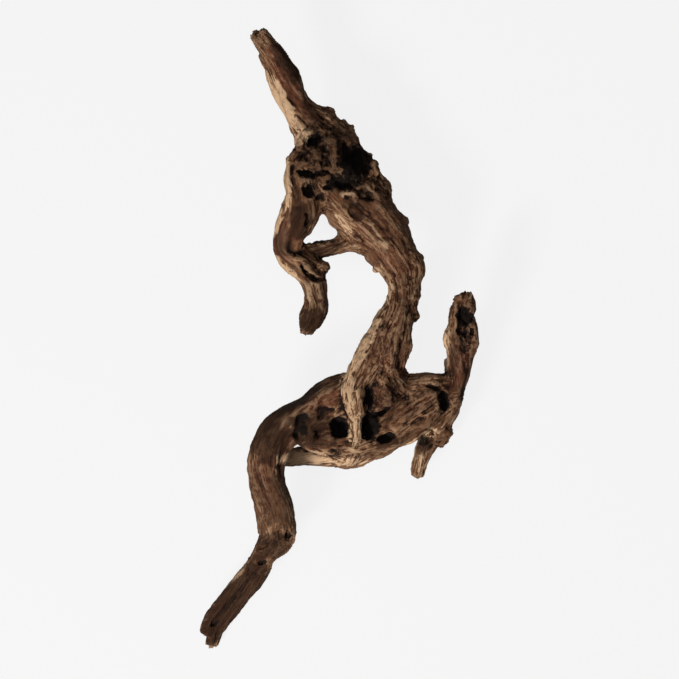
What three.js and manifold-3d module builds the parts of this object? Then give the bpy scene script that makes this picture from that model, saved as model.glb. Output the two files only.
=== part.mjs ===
// A gnarled piece of driftwood, grown as one: a long twisted trunk with a tapering horn at one end, a drooping arm
// tied back to the trunk by two thin twigs, and a hollowed root mass with a bent leg, a short stub and a raised arm.
// It lies on a table on three small worn flats. Units are millimetres, +Z up, and the origin lies on the table
// under the middle of the piece. Every limb is a ribbed tube along a curve; burls are lumps, hollows are cut out.
import * as THREE from "three";
import { mergeVertices } from "three/addons/utils/BufferGeometryUtils.js";
import Module from "manifold-3d";

const wasm = await Module();
wasm.setup();

// The tables below are in plan millimetres: x to the right and y down a sheet that the piece lies on.
// This point of the sheet, on the table, is the origin.
const PLAN_CENTRE = { x: 338, y: 341 };

const RING_STEP = 12.2; // along a limb, between sections
const FACET = 7.4; // round a limb, between corners
const FEWEST_SIDES = 10;
const MOST_SIDES = 25;
const END_LENGTH = 0.5; // of a limb's rounded end, as a share of its half-width
const END_STEPS = [0.25, 1]; // sections of an end, as shares of its length
const FIBRE_WANDER = 0.9; // radians that the ribs stray sideways
const WANDER_LENGTH = 55; // along a limb, from one stray to the next
const GNARL_SIZE = 19; // along a limb, from bump to hollow of its uneven surface
const GNARLS_ROUND = 1.6; // and how closely they follow round it
const BURL = { detail: 2, unevenness: 0.14 }; // icosahedron subdivisions, and bumps as a share of the size
const HOLLOW = { detail: 1, unevenness: 0.2 };
const LUMP_BUMPS = 2.1; // bumps across a burl or a hollow
const BRIM = 2; // how far outside a hollow its surface height is looked for
const TABLE = { side: 900, thickness: 60 };

// Limbs, from root to tip. A station is [x, y, height of the middle, half-width in plan, half-depth].
// ribs is the number of cords that a section shows, twist the radians that they turn in a millimetre,
// and relief the depth of their furrows as a share of the half-width.
const LIMBS = {
  horn: {
    ribs: 4, twist: 0.012, relief: 0.12, gnarl: 0.08,
    stations: [
      [328, 158, 58, 20, 26], [315, 140, 62, 18, 22], [304.5, 122, 66, 15, 19], [296.5, 108, 68, 14, 17],
      [289.5, 95, 70, 14.5, 16], [284, 81, 73, 15.5, 15], [278.5, 67, 76, 13.5, 14], [272.5, 56, 79, 12, 13],
      [266, 46, 82, 10.5, 11], [257, 34, 84, 10, 9],
    ],
  },
  trunk: {
    ribs: 6, twist: 0.006, relief: 0.11, gnarl: 0.13,
    stations: [
      [318, 142, 56, 16, 20], [332, 162, 55, 28, 30], [346, 184, 55, 32, 32], [361, 206, 58, 31, 30],
      [376, 228, 62, 28, 28], [390, 249, 68, 23.5, 26], [400, 269, 74, 19, 23], [403.5, 287, 78, 15.5, 19],
      [402.5, 303, 80, 15, 18], [396, 320, 82, 17, 19], [388.5, 338, 80, 21.5, 21], [384, 356, 76, 19.5, 23],
      [382, 374, 70, 20, 21], [387, 389, 66, 21.5, 18], [395, 401, 61, 20, 16], [409, 409, 56, 16, 15],
    ],
  },
  spine: {
    ribs: 3, twist: 0.01, relief: 0.16, gnarl: 0.16,
    stations: [
      [290, 88, 64, 5, 7], [305, 110, 62, 11, 13], [322, 124, 60, 14, 16], [338, 139, 60, 14, 18],
      [350, 157, 62, 14, 18], [359, 175, 64, 14, 18], [369, 193, 66, 14, 17], [381, 212, 68, 14, 17],
      [392, 230, 70, 15.5, 17], [399.5, 250, 74, 14.5, 17], [410.5, 268, 78, 14.5, 16], [409.5, 284, 80, 11.5, 15],
      [408, 300, 80, 11, 14], [404, 315, 80, 10, 13], [398.5, 327, 78, 7, 13], [401.5, 343, 74, 10.5, 13],
      [393, 360, 66, 6, 9],
    ],
  },
  arm: {
    ribs: 5, twist: 0.014, relief: 0.12, gnarl: 0.12,
    stations: [
      [316, 158, 60, 20, 20], [301.5, 175, 68, 17, 19], [302, 193, 72, 16, 18], [302, 210, 72, 17, 18],
      [297, 222, 70, 18, 18], [290, 235, 66, 16.5, 17], [287.5, 247, 60, 14, 16], [294, 257, 56, 14.5, 16],
      [304, 267, 58, 15, 16],
      [312.5, 281, 66, 12.5, 14], [315.5, 295, 74, 11, 12], [316, 308, 80, 12, 12], [311, 320, 84, 11.5, 11],
      [304, 333, 86, 6, 7],
    ],
  },
  crosstwig: {
    ribs: 3, twist: 0.02, relief: 0.12, gnarl: 0.08,
    stations: [
      [296, 255, 54, 8, 8], [311, 251, 55, 8.5, 9], [325, 248.5, 57, 9, 9], [338, 246.5, 59, 9, 9],
      [352, 244, 62, 9, 11], [368, 247, 66, 10, 14],
    ],
  },
  slanttwig: {
    ribs: 2, twist: 0.03, relief: 0.12, gnarl: 0.08,
    stations: [
      [316, 188, 66, 7, 9], [325.5, 206, 66, 7, 9], [335.5, 218, 65, 6.5, 8], [345, 229, 66, 6.5, 8],
      [354, 243, 67, 6, 8], [362, 254, 66, 4, 6],
    ],
  },
  shank: {
    ribs: 3, twist: 0.008, relief: 0.14, gnarl: 0.1,
    stations: [
      [398, 292, 78, 5, 6], [388, 314, 84, 10, 11], [381, 331, 85, 12, 13], [373, 349, 86, 13.5, 16],
      [363, 368, 87, 14, 18], [354, 385, 88, 12, 17], [353.5, 402, 86, 10, 15], [356.5, 418, 79, 8.5, 14],
      [356.5, 432, 71, 8.5, 13], [353, 446, 60, 11, 12], [347, 457, 48, 12.5, 11], [337, 461, 41, 9, 9],
    ],
  },
  belly: {
    ribs: 7, twist: 0.006, relief: 0.09, gnarl: 0.14,
    stations: [
      [290, 429, 60, 12, 17], [312, 427, 58, 24, 22], [342, 426, 56, 31, 26], [374, 419, 53, 33, 29],
      [404, 408, 52, 31, 28], [430, 399, 50, 26, 26], [452, 395, 48, 17, 21],
    ],
  },
  rail: {
    ribs: 3, twist: 0.02, relief: 0.12, gnarl: 0.1,
    stations: [
      [263, 462, 31, 7, 8], [280, 459.5, 32, 8.5, 9], [300, 457, 34, 9, 10], [320, 458, 36, 9, 11],
      [340, 457, 40, 10.5, 13], [357, 456, 42, 11.5, 14], [374, 446, 46, 11, 15],
    ],
  },
  keel: {
    ribs: 3, twist: 0.014, relief: 0.14, gnarl: 0.13,
    stations: [
      [362, 458, 42, 8, 11], [383.5, 446, 46, 9.5, 13], [400.5, 435.5, 48, 9, 13], [417, 426, 50, 9, 13],
      [434, 417, 52, 9, 12], [448, 404, 54, 9, 12],
    ],
  },
  slab: {
    ribs: 2, twist: 0.002, relief: 0.08, gnarl: 0.1,
    stations: [
      [384, 388, 62, 8, 9], [404, 388, 68, 13, 9], [424, 387, 68, 15, 8], [440, 386, 61, 13, 8],
      [458, 388, 52, 9, 8],
    ],
  },
  raisedarm: {
    ribs: 4, twist: 0.012, relief: 0.13, gnarl: 0.16,
    stations: [
      [436, 427, 42, 12, 14], [449, 409, 46, 12.5, 17], [454.5, 390, 50, 10.5, 16], [458, 372, 56, 11.5, 15],
      [460, 355, 63, 13, 15], [461, 340, 70, 17.3, 16], [461, 326, 76, 15.5, 16], [460, 313, 82, 12.5, 14],
      [463.5, 304, 86, 10, 12], [467, 294, 89, 7, 8],
    ],
  },
  peg: {
    ribs: 2, twist: 0.01, relief: 0.1, gnarl: 0.1,
    stations: [[455, 380, 42, 7, 7], [448, 367, 43, 5, 6], [447, 357, 44, 3.5, 5]],
  },
  stub: {
    ribs: 4, twist: 0.01, relief: 0.12, gnarl: 0.1,
    stations: [
      [443, 423, 38, 12, 12], [433, 437, 33, 10.5, 12], [427, 448, 30, 9.5, 10], [422.5, 460, 27, 8, 9],
      [419.5, 471, 24, 7.5, 8], [418, 480, 23, 6.5, 7],
    ],
  },
  leg: {
    ribs: 4, twist: 0.007, relief: 0.07, gnarl: 0.08,
    stations: [
      [358, 387, 62, 18, 18], [334, 397, 70, 20, 22], [311, 411.5, 74, 18.5, 21], [291.5, 423, 78, 19, 20],
      [277, 437, 82, 19, 19], [268, 455, 83, 18.5, 18], [266.5, 471, 82, 17.5, 18], [270, 489, 77, 18, 18],
      [274.5, 505, 70, 19, 18], [276.5, 520, 62, 19.5, 18], [277, 535, 55, 19.5, 18], [268, 549, 48, 14.5, 17],
      [260, 561, 42, 12, 15], [253, 572, 38, 10, 13],
    ],
  },
  shinouter: {
    ribs: 3, twist: 0.01, relief: 0.12, gnarl: 0.08,
    stations: [
      [264, 552, 46, 8, 12], [253.5, 566, 40, 8.5, 11], [242.5, 580, 36, 8.5, 11], [230.5, 595, 31, 8.5, 10.5],
      [219, 610, 26, 8.5, 10], [209, 623, 22, 8, 10], [202.5, 639, 19, 6.5, 8],
    ],
  },
  shininner: {
    ribs: 3, twist: 0.01, relief: 0.12, gnarl: 0.08,
    stations: [
      [268, 550, 44, 8, 12], [261.5, 567, 39, 10, 12], [253, 582, 34, 10, 12], [242, 596, 29, 9.5, 11],
      [231.5, 610, 24, 8.5, 10.5], [221, 624, 17, 8, 10.5], [213, 637, 12, 7.5, 11.5], [209, 651, 10, 6.5, 10.5],
    ],
  },
  plate: {
    ribs: 2, twist: 0.004, relief: 0.1, gnarl: 0.12,
    stations: [
      [380, 430, 58, 8, 9], [397, 420, 67, 10, 10], [416, 410, 71, 11, 9], [434, 402, 68, 9, 8],
      [446, 394, 60, 7, 8],
    ],
  },
};

// Burls and knees: [x, y, height of the middle, half-length, half-width, half-depth, turn in plan in degrees].
const BURLS = {
  brow: [309, 160, 69, 21, 13, 16, -4],
  crown: [337, 145, 66, 23, 15, 19, -42],
  bridge: [335, 166, 70, 7, 14, 18, 8],
  cheek: [323, 193, 68, 11, 14, 18, 10],
  underhead: [336, 176, 30, 27, 23, 32.5, -40],
  underjaw: [356, 200, 38, 24, 15, 22, -50],
  elbowknob: [319.5, 269, 62, 9, 8.5, 9, 10],
  knee: [284.5, 537, 52, 12, 12, 15, 20],
  hipknob: [441, 437, 20, 11, 12, 21, -20],
  flank: [371, 361, 78, 31, 10.5, 23, 68],
  hipflare: [322, 417, 58, 27, 17, 29, 26],
};

// Rot pockets and slots, sunk from the surface above (side 1) or below (side -1):
// [x, y, half-length, half-width, depth, turn in plan in degrees, side].
const HOLLOWS = {
  eye: [315, 142, 11, 7, 12, 30, 1],
  browcrease: [317, 175, 20, 5, 13, 0, 1],
  headpit: [354, 160, 16, 12, 20, -40, 1],
  sidepit: [343, 184, 16, 8, 17, -6, 1],
  armpit: [309, 192, 7, 8, 11, 10, 1],
  neckpit: [365, 196, 11, 6, 10, -20, 1],
  neckdimple: [357, 213, 8, 11, 11, 12, 1],
  ribhole: [339.5, 427.5, 8.6, 10.5, 24, 10, 1],
  flankhollow: [304, 428, 9, 15, 16, -15, 1],
  shankvalley: [369, 401, 6, 15, 22, 0, 1],
  shankslot: [368, 428, 6.5, 16, 26, -4, 1],
  keelslot: [385, 437, 10, 5, 14, 22, 1],
  slabnotch: [444, 401, 5.5, 13, 18, 22, 1],
  slabdimple: [418, 421, 13, 3.5, 9, 30, 1],
  railhole: [334.5, 454, 7.5, 5.5, 9, 5, 1],
  kneehole: [288, 534, 4, 5.5, 9, -10, 1],
  underpit: [352, 196, 12, 8, 10, 40, -1],
  underhollow: [372, 418, 17, 11, 14, 15, -1],
  bellydip: [326, 414, 12, 9, 8, 25, 1],
  armgroove: [463, 328, 4.5, 21, 9, 8, 1],
};

// A repeatable number from 0 to 1 for each corner of a cubic lattice.
function latticeValue(i, j, k) {
  const s = Math.sin(i * 127.1 + j * 311.7 + k * 74.7) * 43758.5453;
  return s - Math.floor(s);
}

// Smooth noise from -1 to 1: the eight lattice values round a point, blended.
function noise(x, y, z) {
  const [i, j, k] = [Math.floor(x), Math.floor(y), Math.floor(z)];
  const ease = (t) => t * t * (3 - 2 * t);
  const [u, v, w] = [ease(x - i), ease(y - j), ease(z - k)];
  const row = (jj, kk) => THREE.MathUtils.lerp(latticeValue(i, jj, kk), latticeValue(i + 1, jj, kk), u);
  const sheet = (kk) => THREE.MathUtils.lerp(row(j, kk), row(j + 1, kk), v);
  return 2 * THREE.MathUtils.lerp(sheet(k), sheet(k + 1), w) - 1;
}

// A plan point and a height, in the piece's own frame.
const place = (x, y, height) => new THREE.Vector3(x - PLAN_CENTRE.x, PLAN_CENTRE.y - y, height);

// How far the surface stands out at a point of a limb, as a share of its half-width: rounded cords with sharp
// furrows between them, which wind round the limb as they run along it, and uneven bark over them.
function ribbing(limb, along, angle, seed) {
  const wander = FIBRE_WANDER * noise(along / WANDER_LENGTH, seed, 0.5);
  const cords = 2 * Math.abs(Math.sin((limb.ribs / 2) * (angle + limb.twist * along) + wander)) - 1;
  const [east, north] = [GNARLS_ROUND * Math.cos(angle), GNARLS_ROUND * Math.sin(angle)];
  const bumps = noise(east + seed, north, along / GNARL_SIZE);
  return limb.relief * cords + limb.gnarl * bumps;
}

// A limb's closed tube. Its sections stand square to the curve: one half-axis lies flat and the other points up.
function limbGeometry(limb, seed) {
  const middles = limb.stations.map(([x, y, height]) => place(x, y, height));
  const halves = limb.stations.map(([, , , width, depth]) => new THREE.Vector3(width, depth, 0));
  const line = new THREE.CatmullRomCurve3(middles, false, "catmullrom");
  const size = new THREE.CatmullRomCurve3(halves, false, "catmullrom");
  const length = line.getLength();
  const widest = Math.max(...limb.stations.map((s) => (s[3] + s[4]) / 2));
  const sides = THREE.MathUtils.clamp(Math.round((2 * Math.PI * widest) / FACET), FEWEST_SIDES, MOST_SIDES);
  const distances = ringDistances(length, END_LENGTH * halves[0].x, END_LENGTH * halves.at(-1).x);
  const up = new THREE.Vector3(0, 0, 1);
  const points = [];
  for (const { along, shrink } of distances) {
    const t = line.getUtoTmapping(along / length);
    const middle = line.getPoint(t);
    if (shrink === 0) {
      points.push(...middle.toArray());
      continue;
    }
    const { x: width, y: depth } = size.getPoint(t);
    const ahead = line.getTangent(t);
    const across = new THREE.Vector3().crossVectors(up, ahead).normalize();
    const above = new THREE.Vector3().crossVectors(ahead, across);
    for (let s = 0; s < sides; s++) {
      const angle = (2 * Math.PI * s) / sides;
      const out = shrink * (1 + ribbing(limb, along, angle, seed));
      const corner = middle
        .clone()
        .addScaledVector(across, width * Math.cos(angle) * out)
        .addScaledVector(above, depth * Math.sin(angle) * out);
      points.push(...corner.toArray());
    }
  }
  return new THREE.BufferGeometry()
    .setAttribute("position", new THREE.BufferAttribute(new Float32Array(points), 3))
    .setIndex(tubeFaces(distances.length - 1, sides));
}

// Where a limb's sections stand, and how far each is shrunk towards its middle: an elliptic dome at both ends.
function ringDistances(length, rootEnd, tipEnd) {
  const dome = (end) => END_STEPS.map((step) => ({ along: step * end, shrink: Math.sqrt(1 - (1 - step) ** 2) }));
  const rings = [{ along: 0, shrink: 0 }, ...dome(rootEnd)];
  const count = Math.round((length - rootEnd - tipEnd) / RING_STEP);
  for (let r = 1; r < count; r++) {
    rings.push({ along: THREE.MathUtils.lerp(rootEnd, length - tipEnd, r / count), shrink: 1 });
  }
  const tip = dome(tipEnd).reverse();
  rings.push(...tip.map(({ along, shrink }) => ({ along: length - along, shrink })), { along: length, shrink: 0 });
  return rings;
}

// Faces of a tube of rings whose first and last ring are single points.
function tubeFaces(rings, sides) {
  const faces = [];
  const last = 1 + (rings - 1) * sides;
  for (let s = 0; s < sides; s++) {
    const next = (s + 1) % sides;
    faces.push(0, 1 + next, 1 + s);
    for (let r = 0; r < rings - 2; r++) {
      const [a, b] = [1 + r * sides + s, 1 + r * sides + next];
      faces.push(a, b, b + sides, a, b + sides, a + sides);
    }
    faces.push(last, last - sides + s, last - sides + next);
  }
  return faces;
}

// A lump or a hollow: a ball stretched to its half-sizes, turned in plan, with an uneven skin.
function lumpGeometry(centre, halves, turn, { detail, unevenness }, seed) {
  const ball = new THREE.IcosahedronGeometry(1, detail);
  ball.deleteAttribute("normal");
  ball.deleteAttribute("uv");
  const lump = mergeVertices(ball, 1e-4);
  const position = lump.getAttribute("position");
  const point = new THREE.Vector3();
  for (let i = 0; i < position.count; i++) {
    point.fromBufferAttribute(position, i);
    const skin = 1 + unevenness * noise(LUMP_BUMPS * point.x + seed, LUMP_BUMPS * point.y, LUMP_BUMPS * point.z);
    point.multiplyScalar(skin).multiply(halves);
    position.setXYZ(i, point.x, point.y, point.z);
  }
  return lump.applyMatrix4(
    new THREE.Matrix4().makeRotationZ(THREE.MathUtils.degToRad(turn)).setPosition(centre),
  );
}

// A closed geometry as a solid that can be joined and cut.
function solidOf(geometry) {
  return new wasm.Manifold(
    new wasm.Mesh({
      numProp: 3,
      vertProperties: new Float32Array(geometry.getAttribute("position").array),
      triVerts: new Uint32Array(geometry.index.array),
    }),
  );
}

// The height of a solid's skin near a plan point: its highest corner within reach, or its lowest for side -1.
function skinHeight(solid, at, reach, side) {
  const { vertProperties: p } = solid.getMesh();
  let best = -Infinity;
  for (let i = 0; i < p.length; i += 3) {
    if (Math.hypot(p[i] - at.x, p[i + 1] - at.y) < reach) best = Math.max(best, side * p[i + 2]);
  }
  return side * best;
}

function makeWood() {
  let wood = null;
  Object.values(LIMBS).forEach((limb, seed) => {
    const solid = solidOf(limbGeometry(limb, seed + 0.5));
    wood = wood ? wood.add(solid) : solid;
  });
  Object.values(BURLS).forEach(([x, y, height, length, width, depth, turn], seed) => {
    const halves = new THREE.Vector3(length, width, depth);
    wood = wood.add(solidOf(lumpGeometry(place(x, y, height), halves, turn, BURL, seed + 0.3)));
  });
  return wood;
}

function cutHollows(wood) {
  let cut = wood;
  Object.values(HOLLOWS).forEach(([x, y, length, width, depth, turn, side], seed) => {
    const at = place(x, y, 0);
    at.z = skinHeight(wood, at, Math.min(length, width) + BRIM, side);
    const halves = new THREE.Vector3(length, width, depth);
    cut = cut.subtract(solidOf(lumpGeometry(at, halves, turn, HOLLOW, seed + 0.7)));
  });
  return cut;
}

// Small flats are worn on the three lowest points, where the piece touches the table: all below it is taken off.
function wearFlats(wood) {
  const table = new THREE.BoxGeometry(TABLE.side, TABLE.side, TABLE.thickness).translate(0, 0, -TABLE.thickness / 2);
  table.deleteAttribute("normal").deleteAttribute("uv");
  return wood.subtract(solidOf(mergeVertices(table)));
}

function geometryOf(solid) {
  const { vertProperties, triVerts } = solid.getMesh();
  const geometry = new THREE.BufferGeometry()
    .setAttribute("position", new THREE.BufferAttribute(vertProperties, 3))
    .setIndex(new THREE.BufferAttribute(triVerts, 1));
  geometry.computeVertexNormals();
  return geometry;
}

const wood = new THREE.Mesh(
  geometryOf(wearFlats(cutHollows(makeWood()))),
  new THREE.MeshStandardMaterial({ name: "weathered wood", color: 0x6b4d38, roughness: 0.85, metalness: 0 }),
);
wood.name = "driftwood";

const driftwood = new THREE.Group();
driftwood.add(wood);

export default driftwood;
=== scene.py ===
"""A gnarled piece of driftwood that lies on a pale floor and is seen from straight above.

The wood grew as one piece, so it is one surface. Every limb is a ribbed tube along a curve. The tubes and the
burls are fused, the rot hollows are cut out, and the skin is then carved along each limb's own fibres: broad
cords, splits, fine grain, bark-like roughness in patches, and torn tips. The wood's colours follow the same
fibres.
"""

import logging
import math
from collections.abc import Iterable
from dataclasses import dataclass
from enum import Enum
from functools import cached_property
from typing import ClassVar

import bpy
import numpy as np
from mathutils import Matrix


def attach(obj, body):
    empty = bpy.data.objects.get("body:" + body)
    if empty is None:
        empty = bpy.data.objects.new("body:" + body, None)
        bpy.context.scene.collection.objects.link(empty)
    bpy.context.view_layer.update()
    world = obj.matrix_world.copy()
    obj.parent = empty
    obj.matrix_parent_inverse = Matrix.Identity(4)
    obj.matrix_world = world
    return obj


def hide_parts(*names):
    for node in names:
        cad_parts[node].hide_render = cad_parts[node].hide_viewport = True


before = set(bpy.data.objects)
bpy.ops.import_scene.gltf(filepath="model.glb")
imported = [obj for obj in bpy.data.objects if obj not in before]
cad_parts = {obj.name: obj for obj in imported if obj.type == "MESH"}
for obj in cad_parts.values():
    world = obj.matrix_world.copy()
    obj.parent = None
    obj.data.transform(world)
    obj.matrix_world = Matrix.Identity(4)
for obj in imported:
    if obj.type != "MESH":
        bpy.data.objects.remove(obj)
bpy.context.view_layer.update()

LOG = logging.getLogger("driftwood")
Array = np.ndarray
Colour = tuple[float, float, float]
Station = tuple[float, float, float, float, float]

MM = 0.001
NODE = "driftwood"
BODY = "root"
PIECE = "driftwood_surface"

# The tables are in plan millimetres: x to the right and y down a sheet that the piece lies on, and the height
# above the table. The first point of the sheet is the frame's origin, the second is the photograph's middle,
# and the width is the photograph's, in metres.
PLAN_CENTRE = (338.0, 341.0)
PHOTO_MIDDLE = (339.5, 339.5)
PHOTO_WIDTH = 0.679

# How many radians the fibres stray sideways, and over what length they do.
FIBRE_WANDER = 0.9
WANDER_LENGTH = 55.0

# The length of a limb's unevenness, and how much of it goes round the limb.
GNARL_SIZE = 19.0
GNARLS_ROUND = 1.6

# The bumps across a lump, and the size and height of the finer ones on them.
LUMP_BUMPS = 2.1
FINER_BUMPS = 2.2
FINER_HEIGHT = 0.6

# The ground beside a hollow that its height is measured over, and the length of a limb's domed end as a share
# of its half-width.
BRIM = 2.0
END_LENGTH = 0.5

# The places at which a limb's curve is measured, and the points round and along a lump.
CURVE_PLACES = 201
LUMP_RINGS, LUMP_SIDES = 22, 40

# How far fairing moves each point in and back out.
FAIR_IN, FAIR_OUT = 0.55, -0.56

# What brings the slope noise to about 1.
GRAIN_REACH = 1.25

# The seeds that each kind of limb, lump and hollow starts from, so that no two share one.
LIMB_SEED, SPLINTER_SEED, SHARD_SEED, GOUGE_SEED = 0.5, 40.5, 60.5, 80.5
BURL_SEED, HOLLOW_SEED = 0.3, 0.7


def lattice_value(i: Array, j: Array, k: Array) -> Array:
    """A repeatable number from 0 to 1 for each corner of a cubic lattice: the fraction of a large sine."""
    s = np.sin(i * 127.1 + j * 311.7 + k * 74.7) * 43758.5453
    return s - np.floor(s)


def value_noise(x: Array, y: Array, z: Array) -> Array:
    """Broad noise from -1 to 1.

    The eight lattice values round a point are blended along each axis by t * t * (3 - 2 * t).

    Args:
        x: first coordinates, in lattice steps.
        y: second coordinates.
        z: third coordinates.

    Returns:
        One number for each point.
    """
    x, y, z = np.broadcast_arrays(x, y, z)
    i, j, k = np.floor(x), np.floor(y), np.floor(z)
    u, v, w = ((t * t * (3 - 2 * t)) for t in (x - i, y - j, z - k))
    total = np.zeros(x.shape)
    for a, b, c in np.ndindex(2, 2, 2):
        weight = (u if a else 1 - u) * (v if b else 1 - v) * (w if c else 1 - w)
        total += weight * lattice_value(i + a, j + b, k + c)
    return 2 * total - 1


def corner_number(cell: Array, seed: int) -> Array:
    """A repeatable number from -1 to 1 for each lattice cell, from multiplying and folding its numbers.

    Args:
        cell: whole numbers, one row of three for each cell.
        seed: picks one of many such sets of numbers.

    Returns:
        One number for each row.
    """
    i, j, k = (cell[:, n].astype(np.uint32) for n in range(3))
    h = i * np.uint32(0x9E3779B1) ^ j * np.uint32(0x85EBCA77) ^ k * np.uint32(0xC2B2AE3D)
    h ^= np.uint32(seed * 0x27D4EB2F & 0xFFFFFFFF)
    h = (h ^ (h >> np.uint32(15))) * np.uint32(0x2C1B3C6D)
    h = (h ^ (h >> np.uint32(12))) * np.uint32(0x297A2D39)
    h ^= h >> np.uint32(15)
    return h / 2147483648.0 - 1.0


def grain_noise(points: Array, seed: int) -> Array:
    """Smooth noise from about -1 to 1, with no flat spots at the lattice.

    At each lattice corner stands a slope of its own. The heights of the eight slopes round a point are
    blended by 6t^5 - 15t^4 + 10t^3 along each axis.

    Args:
        points: rows of three coordinates, in lattice steps.
        seed: picks one of many such noises.

    Returns:
        One number for each point.
    """
    cell = np.floor(points)
    part = points - cell
    cell = cell.astype(np.int64)
    ease = part**3 * (part * (part * 6 - 15) + 10)
    total = np.zeros(len(points))
    for corner in np.ndindex(2, 2, 2):
        step = np.array(corner)
        away = part - step
        rise = sum(corner_number(cell + step, 3 * seed + n) * away[:, n] for n in range(3))
        total += rise * np.prod(np.where(step, ease, 1 - ease), axis=1)
    return GRAIN_REACH * total


def smooth_step(low: float, high: float, values: Array) -> Array:
    """0 below low, 1 above high, and a smooth rise between them."""
    t = np.clip((values - low) / (high - low), 0, 1)
    return t * t * (3 - 2 * t)


def place(x: float, y: float, height: float) -> Array:
    """A plan point and a height, in metres in the piece's own frame."""
    return MM * np.array((x - PLAN_CENTRE[0], PLAN_CENTRE[1] - y, height))


def spline(stations: Array, t: Array) -> Array:
    """Rows on the smooth curve through the stations.

    Each span is a cubic whose slope at a station is half the step between that station's neighbours. Beyond
    either end stands one more station, as far out as the last step.

    Args:
        stations: one row for each station.
        t: places along the curve, from 0 to 1, with the stations evenly spaced.

    Returns:
        One row for each t.
    """
    padded = np.vstack((2 * stations[0] - stations[1], stations, 2 * stations[-1] - stations[-2]))
    spans = len(stations) - 1
    span = np.minimum((t * spans).astype(int), spans - 1)
    w = (t * spans - span)[:, None]
    before, start, end, after = (padded[span + n] for n in range(4))
    leave, arrive = 0.5 * (end - before), 0.5 * (after - start)
    cubic = 2 * start - 2 * end + leave + arrive
    square = 3 * end - 3 * start - 2 * leave - arrive
    return cubic * w**3 + square * w**2 + leave * w + start


def unit(rows: Array) -> Array:
    """Each row divided by its length."""
    return rows / np.linalg.norm(rows, axis=1, keepdims=True)


def ring_triangles(rings: int, sides: int) -> Array:
    """Triangles of a closed surface made of a point, a number of rings and a point.

    Args:
        rings: the number of rings between the two points.
        sides: the points in each ring.

    Returns:
        Rows of three vertex numbers. Seen from outside, each row turns anticlockwise if the rings do when
        they are seen from ahead.
    """
    s = np.arange(sides)
    following = (s + 1) % sides
    last = 1 + rings * sides
    first_fan = np.stack((np.zeros(sides, int), 1 + following, 1 + s), axis=1)
    last_fan = np.stack((np.full(sides, last), last - sides + s, last - sides + following), axis=1)
    base = 1 + sides * np.arange(rings - 1)[:, None]
    a, b = (base + s).ravel(), (base + following).ravel()
    lower = np.stack((a, b, b + sides), axis=1)
    upper = np.stack((a, b + sides, a + sides), axis=1)
    return np.vstack((first_fan, lower, upper, last_fan))


@dataclass
class Skin:
    """A closed surface as arrays.

    Attributes:
        points: one row for each vertex, in metres.
        triangles: one row of three vertex numbers for each face.
    """

    points: Array
    triangles: Array

    @classmethod
    def joined(cls, parts: Iterable["Skin"]) -> "Skin":
        """All the parts in one skin, still overlapping.

        Args:
            parts: the skins.

        Returns:
            Their points and triangles, one after the other.
        """
        points, triangles, count = [], [], 0
        for part in parts:
            points.append(part.points)
            triangles.append(part.triangles + count)
            count += len(part.points)
        return cls(np.vstack(points), np.vstack(triangles))

    @classmethod
    def of_mesh(cls, mesh: bpy.types.Mesh) -> "Skin":
        """A mesh's points and triangles.

        Args:
            mesh: any mesh.

        Returns:
            A skin with the mesh's vertices in their order.
        """
        mesh.calc_loop_triangles()
        points = np.empty(len(mesh.vertices) * 3, np.float32)
        triangles = np.empty(len(mesh.loop_triangles) * 3, np.int32)
        mesh.vertices.foreach_get("co", points)
        mesh.loop_triangles.foreach_get("vertices", triangles)
        return cls(points.reshape(-1, 3).astype(float), triangles.reshape(-1, 3))

    @cached_property
    def edges(self) -> Array:
        """Each edge once, as a row of two vertex numbers."""
        t = self.triangles
        pairs = np.sort(np.vstack((t[:, :2], t[:, 1:], t[:, [2, 0]])), axis=1)
        keys = np.unique(pairs[:, 0].astype(np.int64) * len(self.points) + pairs[:, 1])
        return np.stack((keys // len(self.points), keys % len(self.points)), axis=1)

    def normals(self) -> Array:
        """The outward direction at each vertex: the sum of its faces' cross products, made a unit."""
        corners = self.points[self.triangles]
        faces = np.cross(corners[:, 1] - corners[:, 0], corners[:, 2] - corners[:, 0])
        total = np.zeros_like(self.points)
        for corner in range(3):
            for axis in range(3):
                vertex = self.triangles[:, corner]
                total[:, axis] += np.bincount(vertex, faces[:, axis], len(self.points))
        return total / np.maximum(np.linalg.norm(total, axis=1, keepdims=True), 1e-20)

    def spread(self, values: Array, rounds: int, share: float = 1.0) -> Array:
        """Values moved towards the mean of their neighbours along the edges, a number of times.

        Args:
            values: one number or one row for each vertex.
            rounds: how many times.
            share: how far towards the mean each time. A negative share swells what a positive one shrank.

        Returns:
            The values after the last round.
        """
        a, b = self.edges[:, 0], self.edges[:, 1]
        count = len(self.points)
        degree = np.maximum(np.bincount(a, minlength=count) + np.bincount(b, minlength=count), 1)
        columns = values.reshape(count, -1).copy()
        for _ in range(rounds):
            for n in range(columns.shape[1]):
                c = columns[:, n]
                mean = (np.bincount(a, c[b], count) + np.bincount(b, c[a], count)) / degree
                columns[:, n] = c + share * (mean - c)
        return columns.reshape(values.shape)

    def faired(self, rounds: int) -> "Skin":
        """The skin with its roughness smoothed: each round shrinks it and swells it again."""
        points = self.points
        for _ in range(rounds):
            points = self.spread(self.spread(points, 1, FAIR_IN), 1, FAIR_OUT)
        return Skin(points, self.triangles)

    def mesh(self, name: str) -> bpy.types.Mesh:
        """A Blender mesh of this skin, with smooth faces."""
        mesh = bpy.data.meshes.new(name)
        mesh.from_pydata(self.points.tolist(), [], self.triangles.tolist())
        mesh.polygons.foreach_set("use_smooth", np.ones(len(self.triangles), bool))
        mesh.update()
        return mesh


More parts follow.
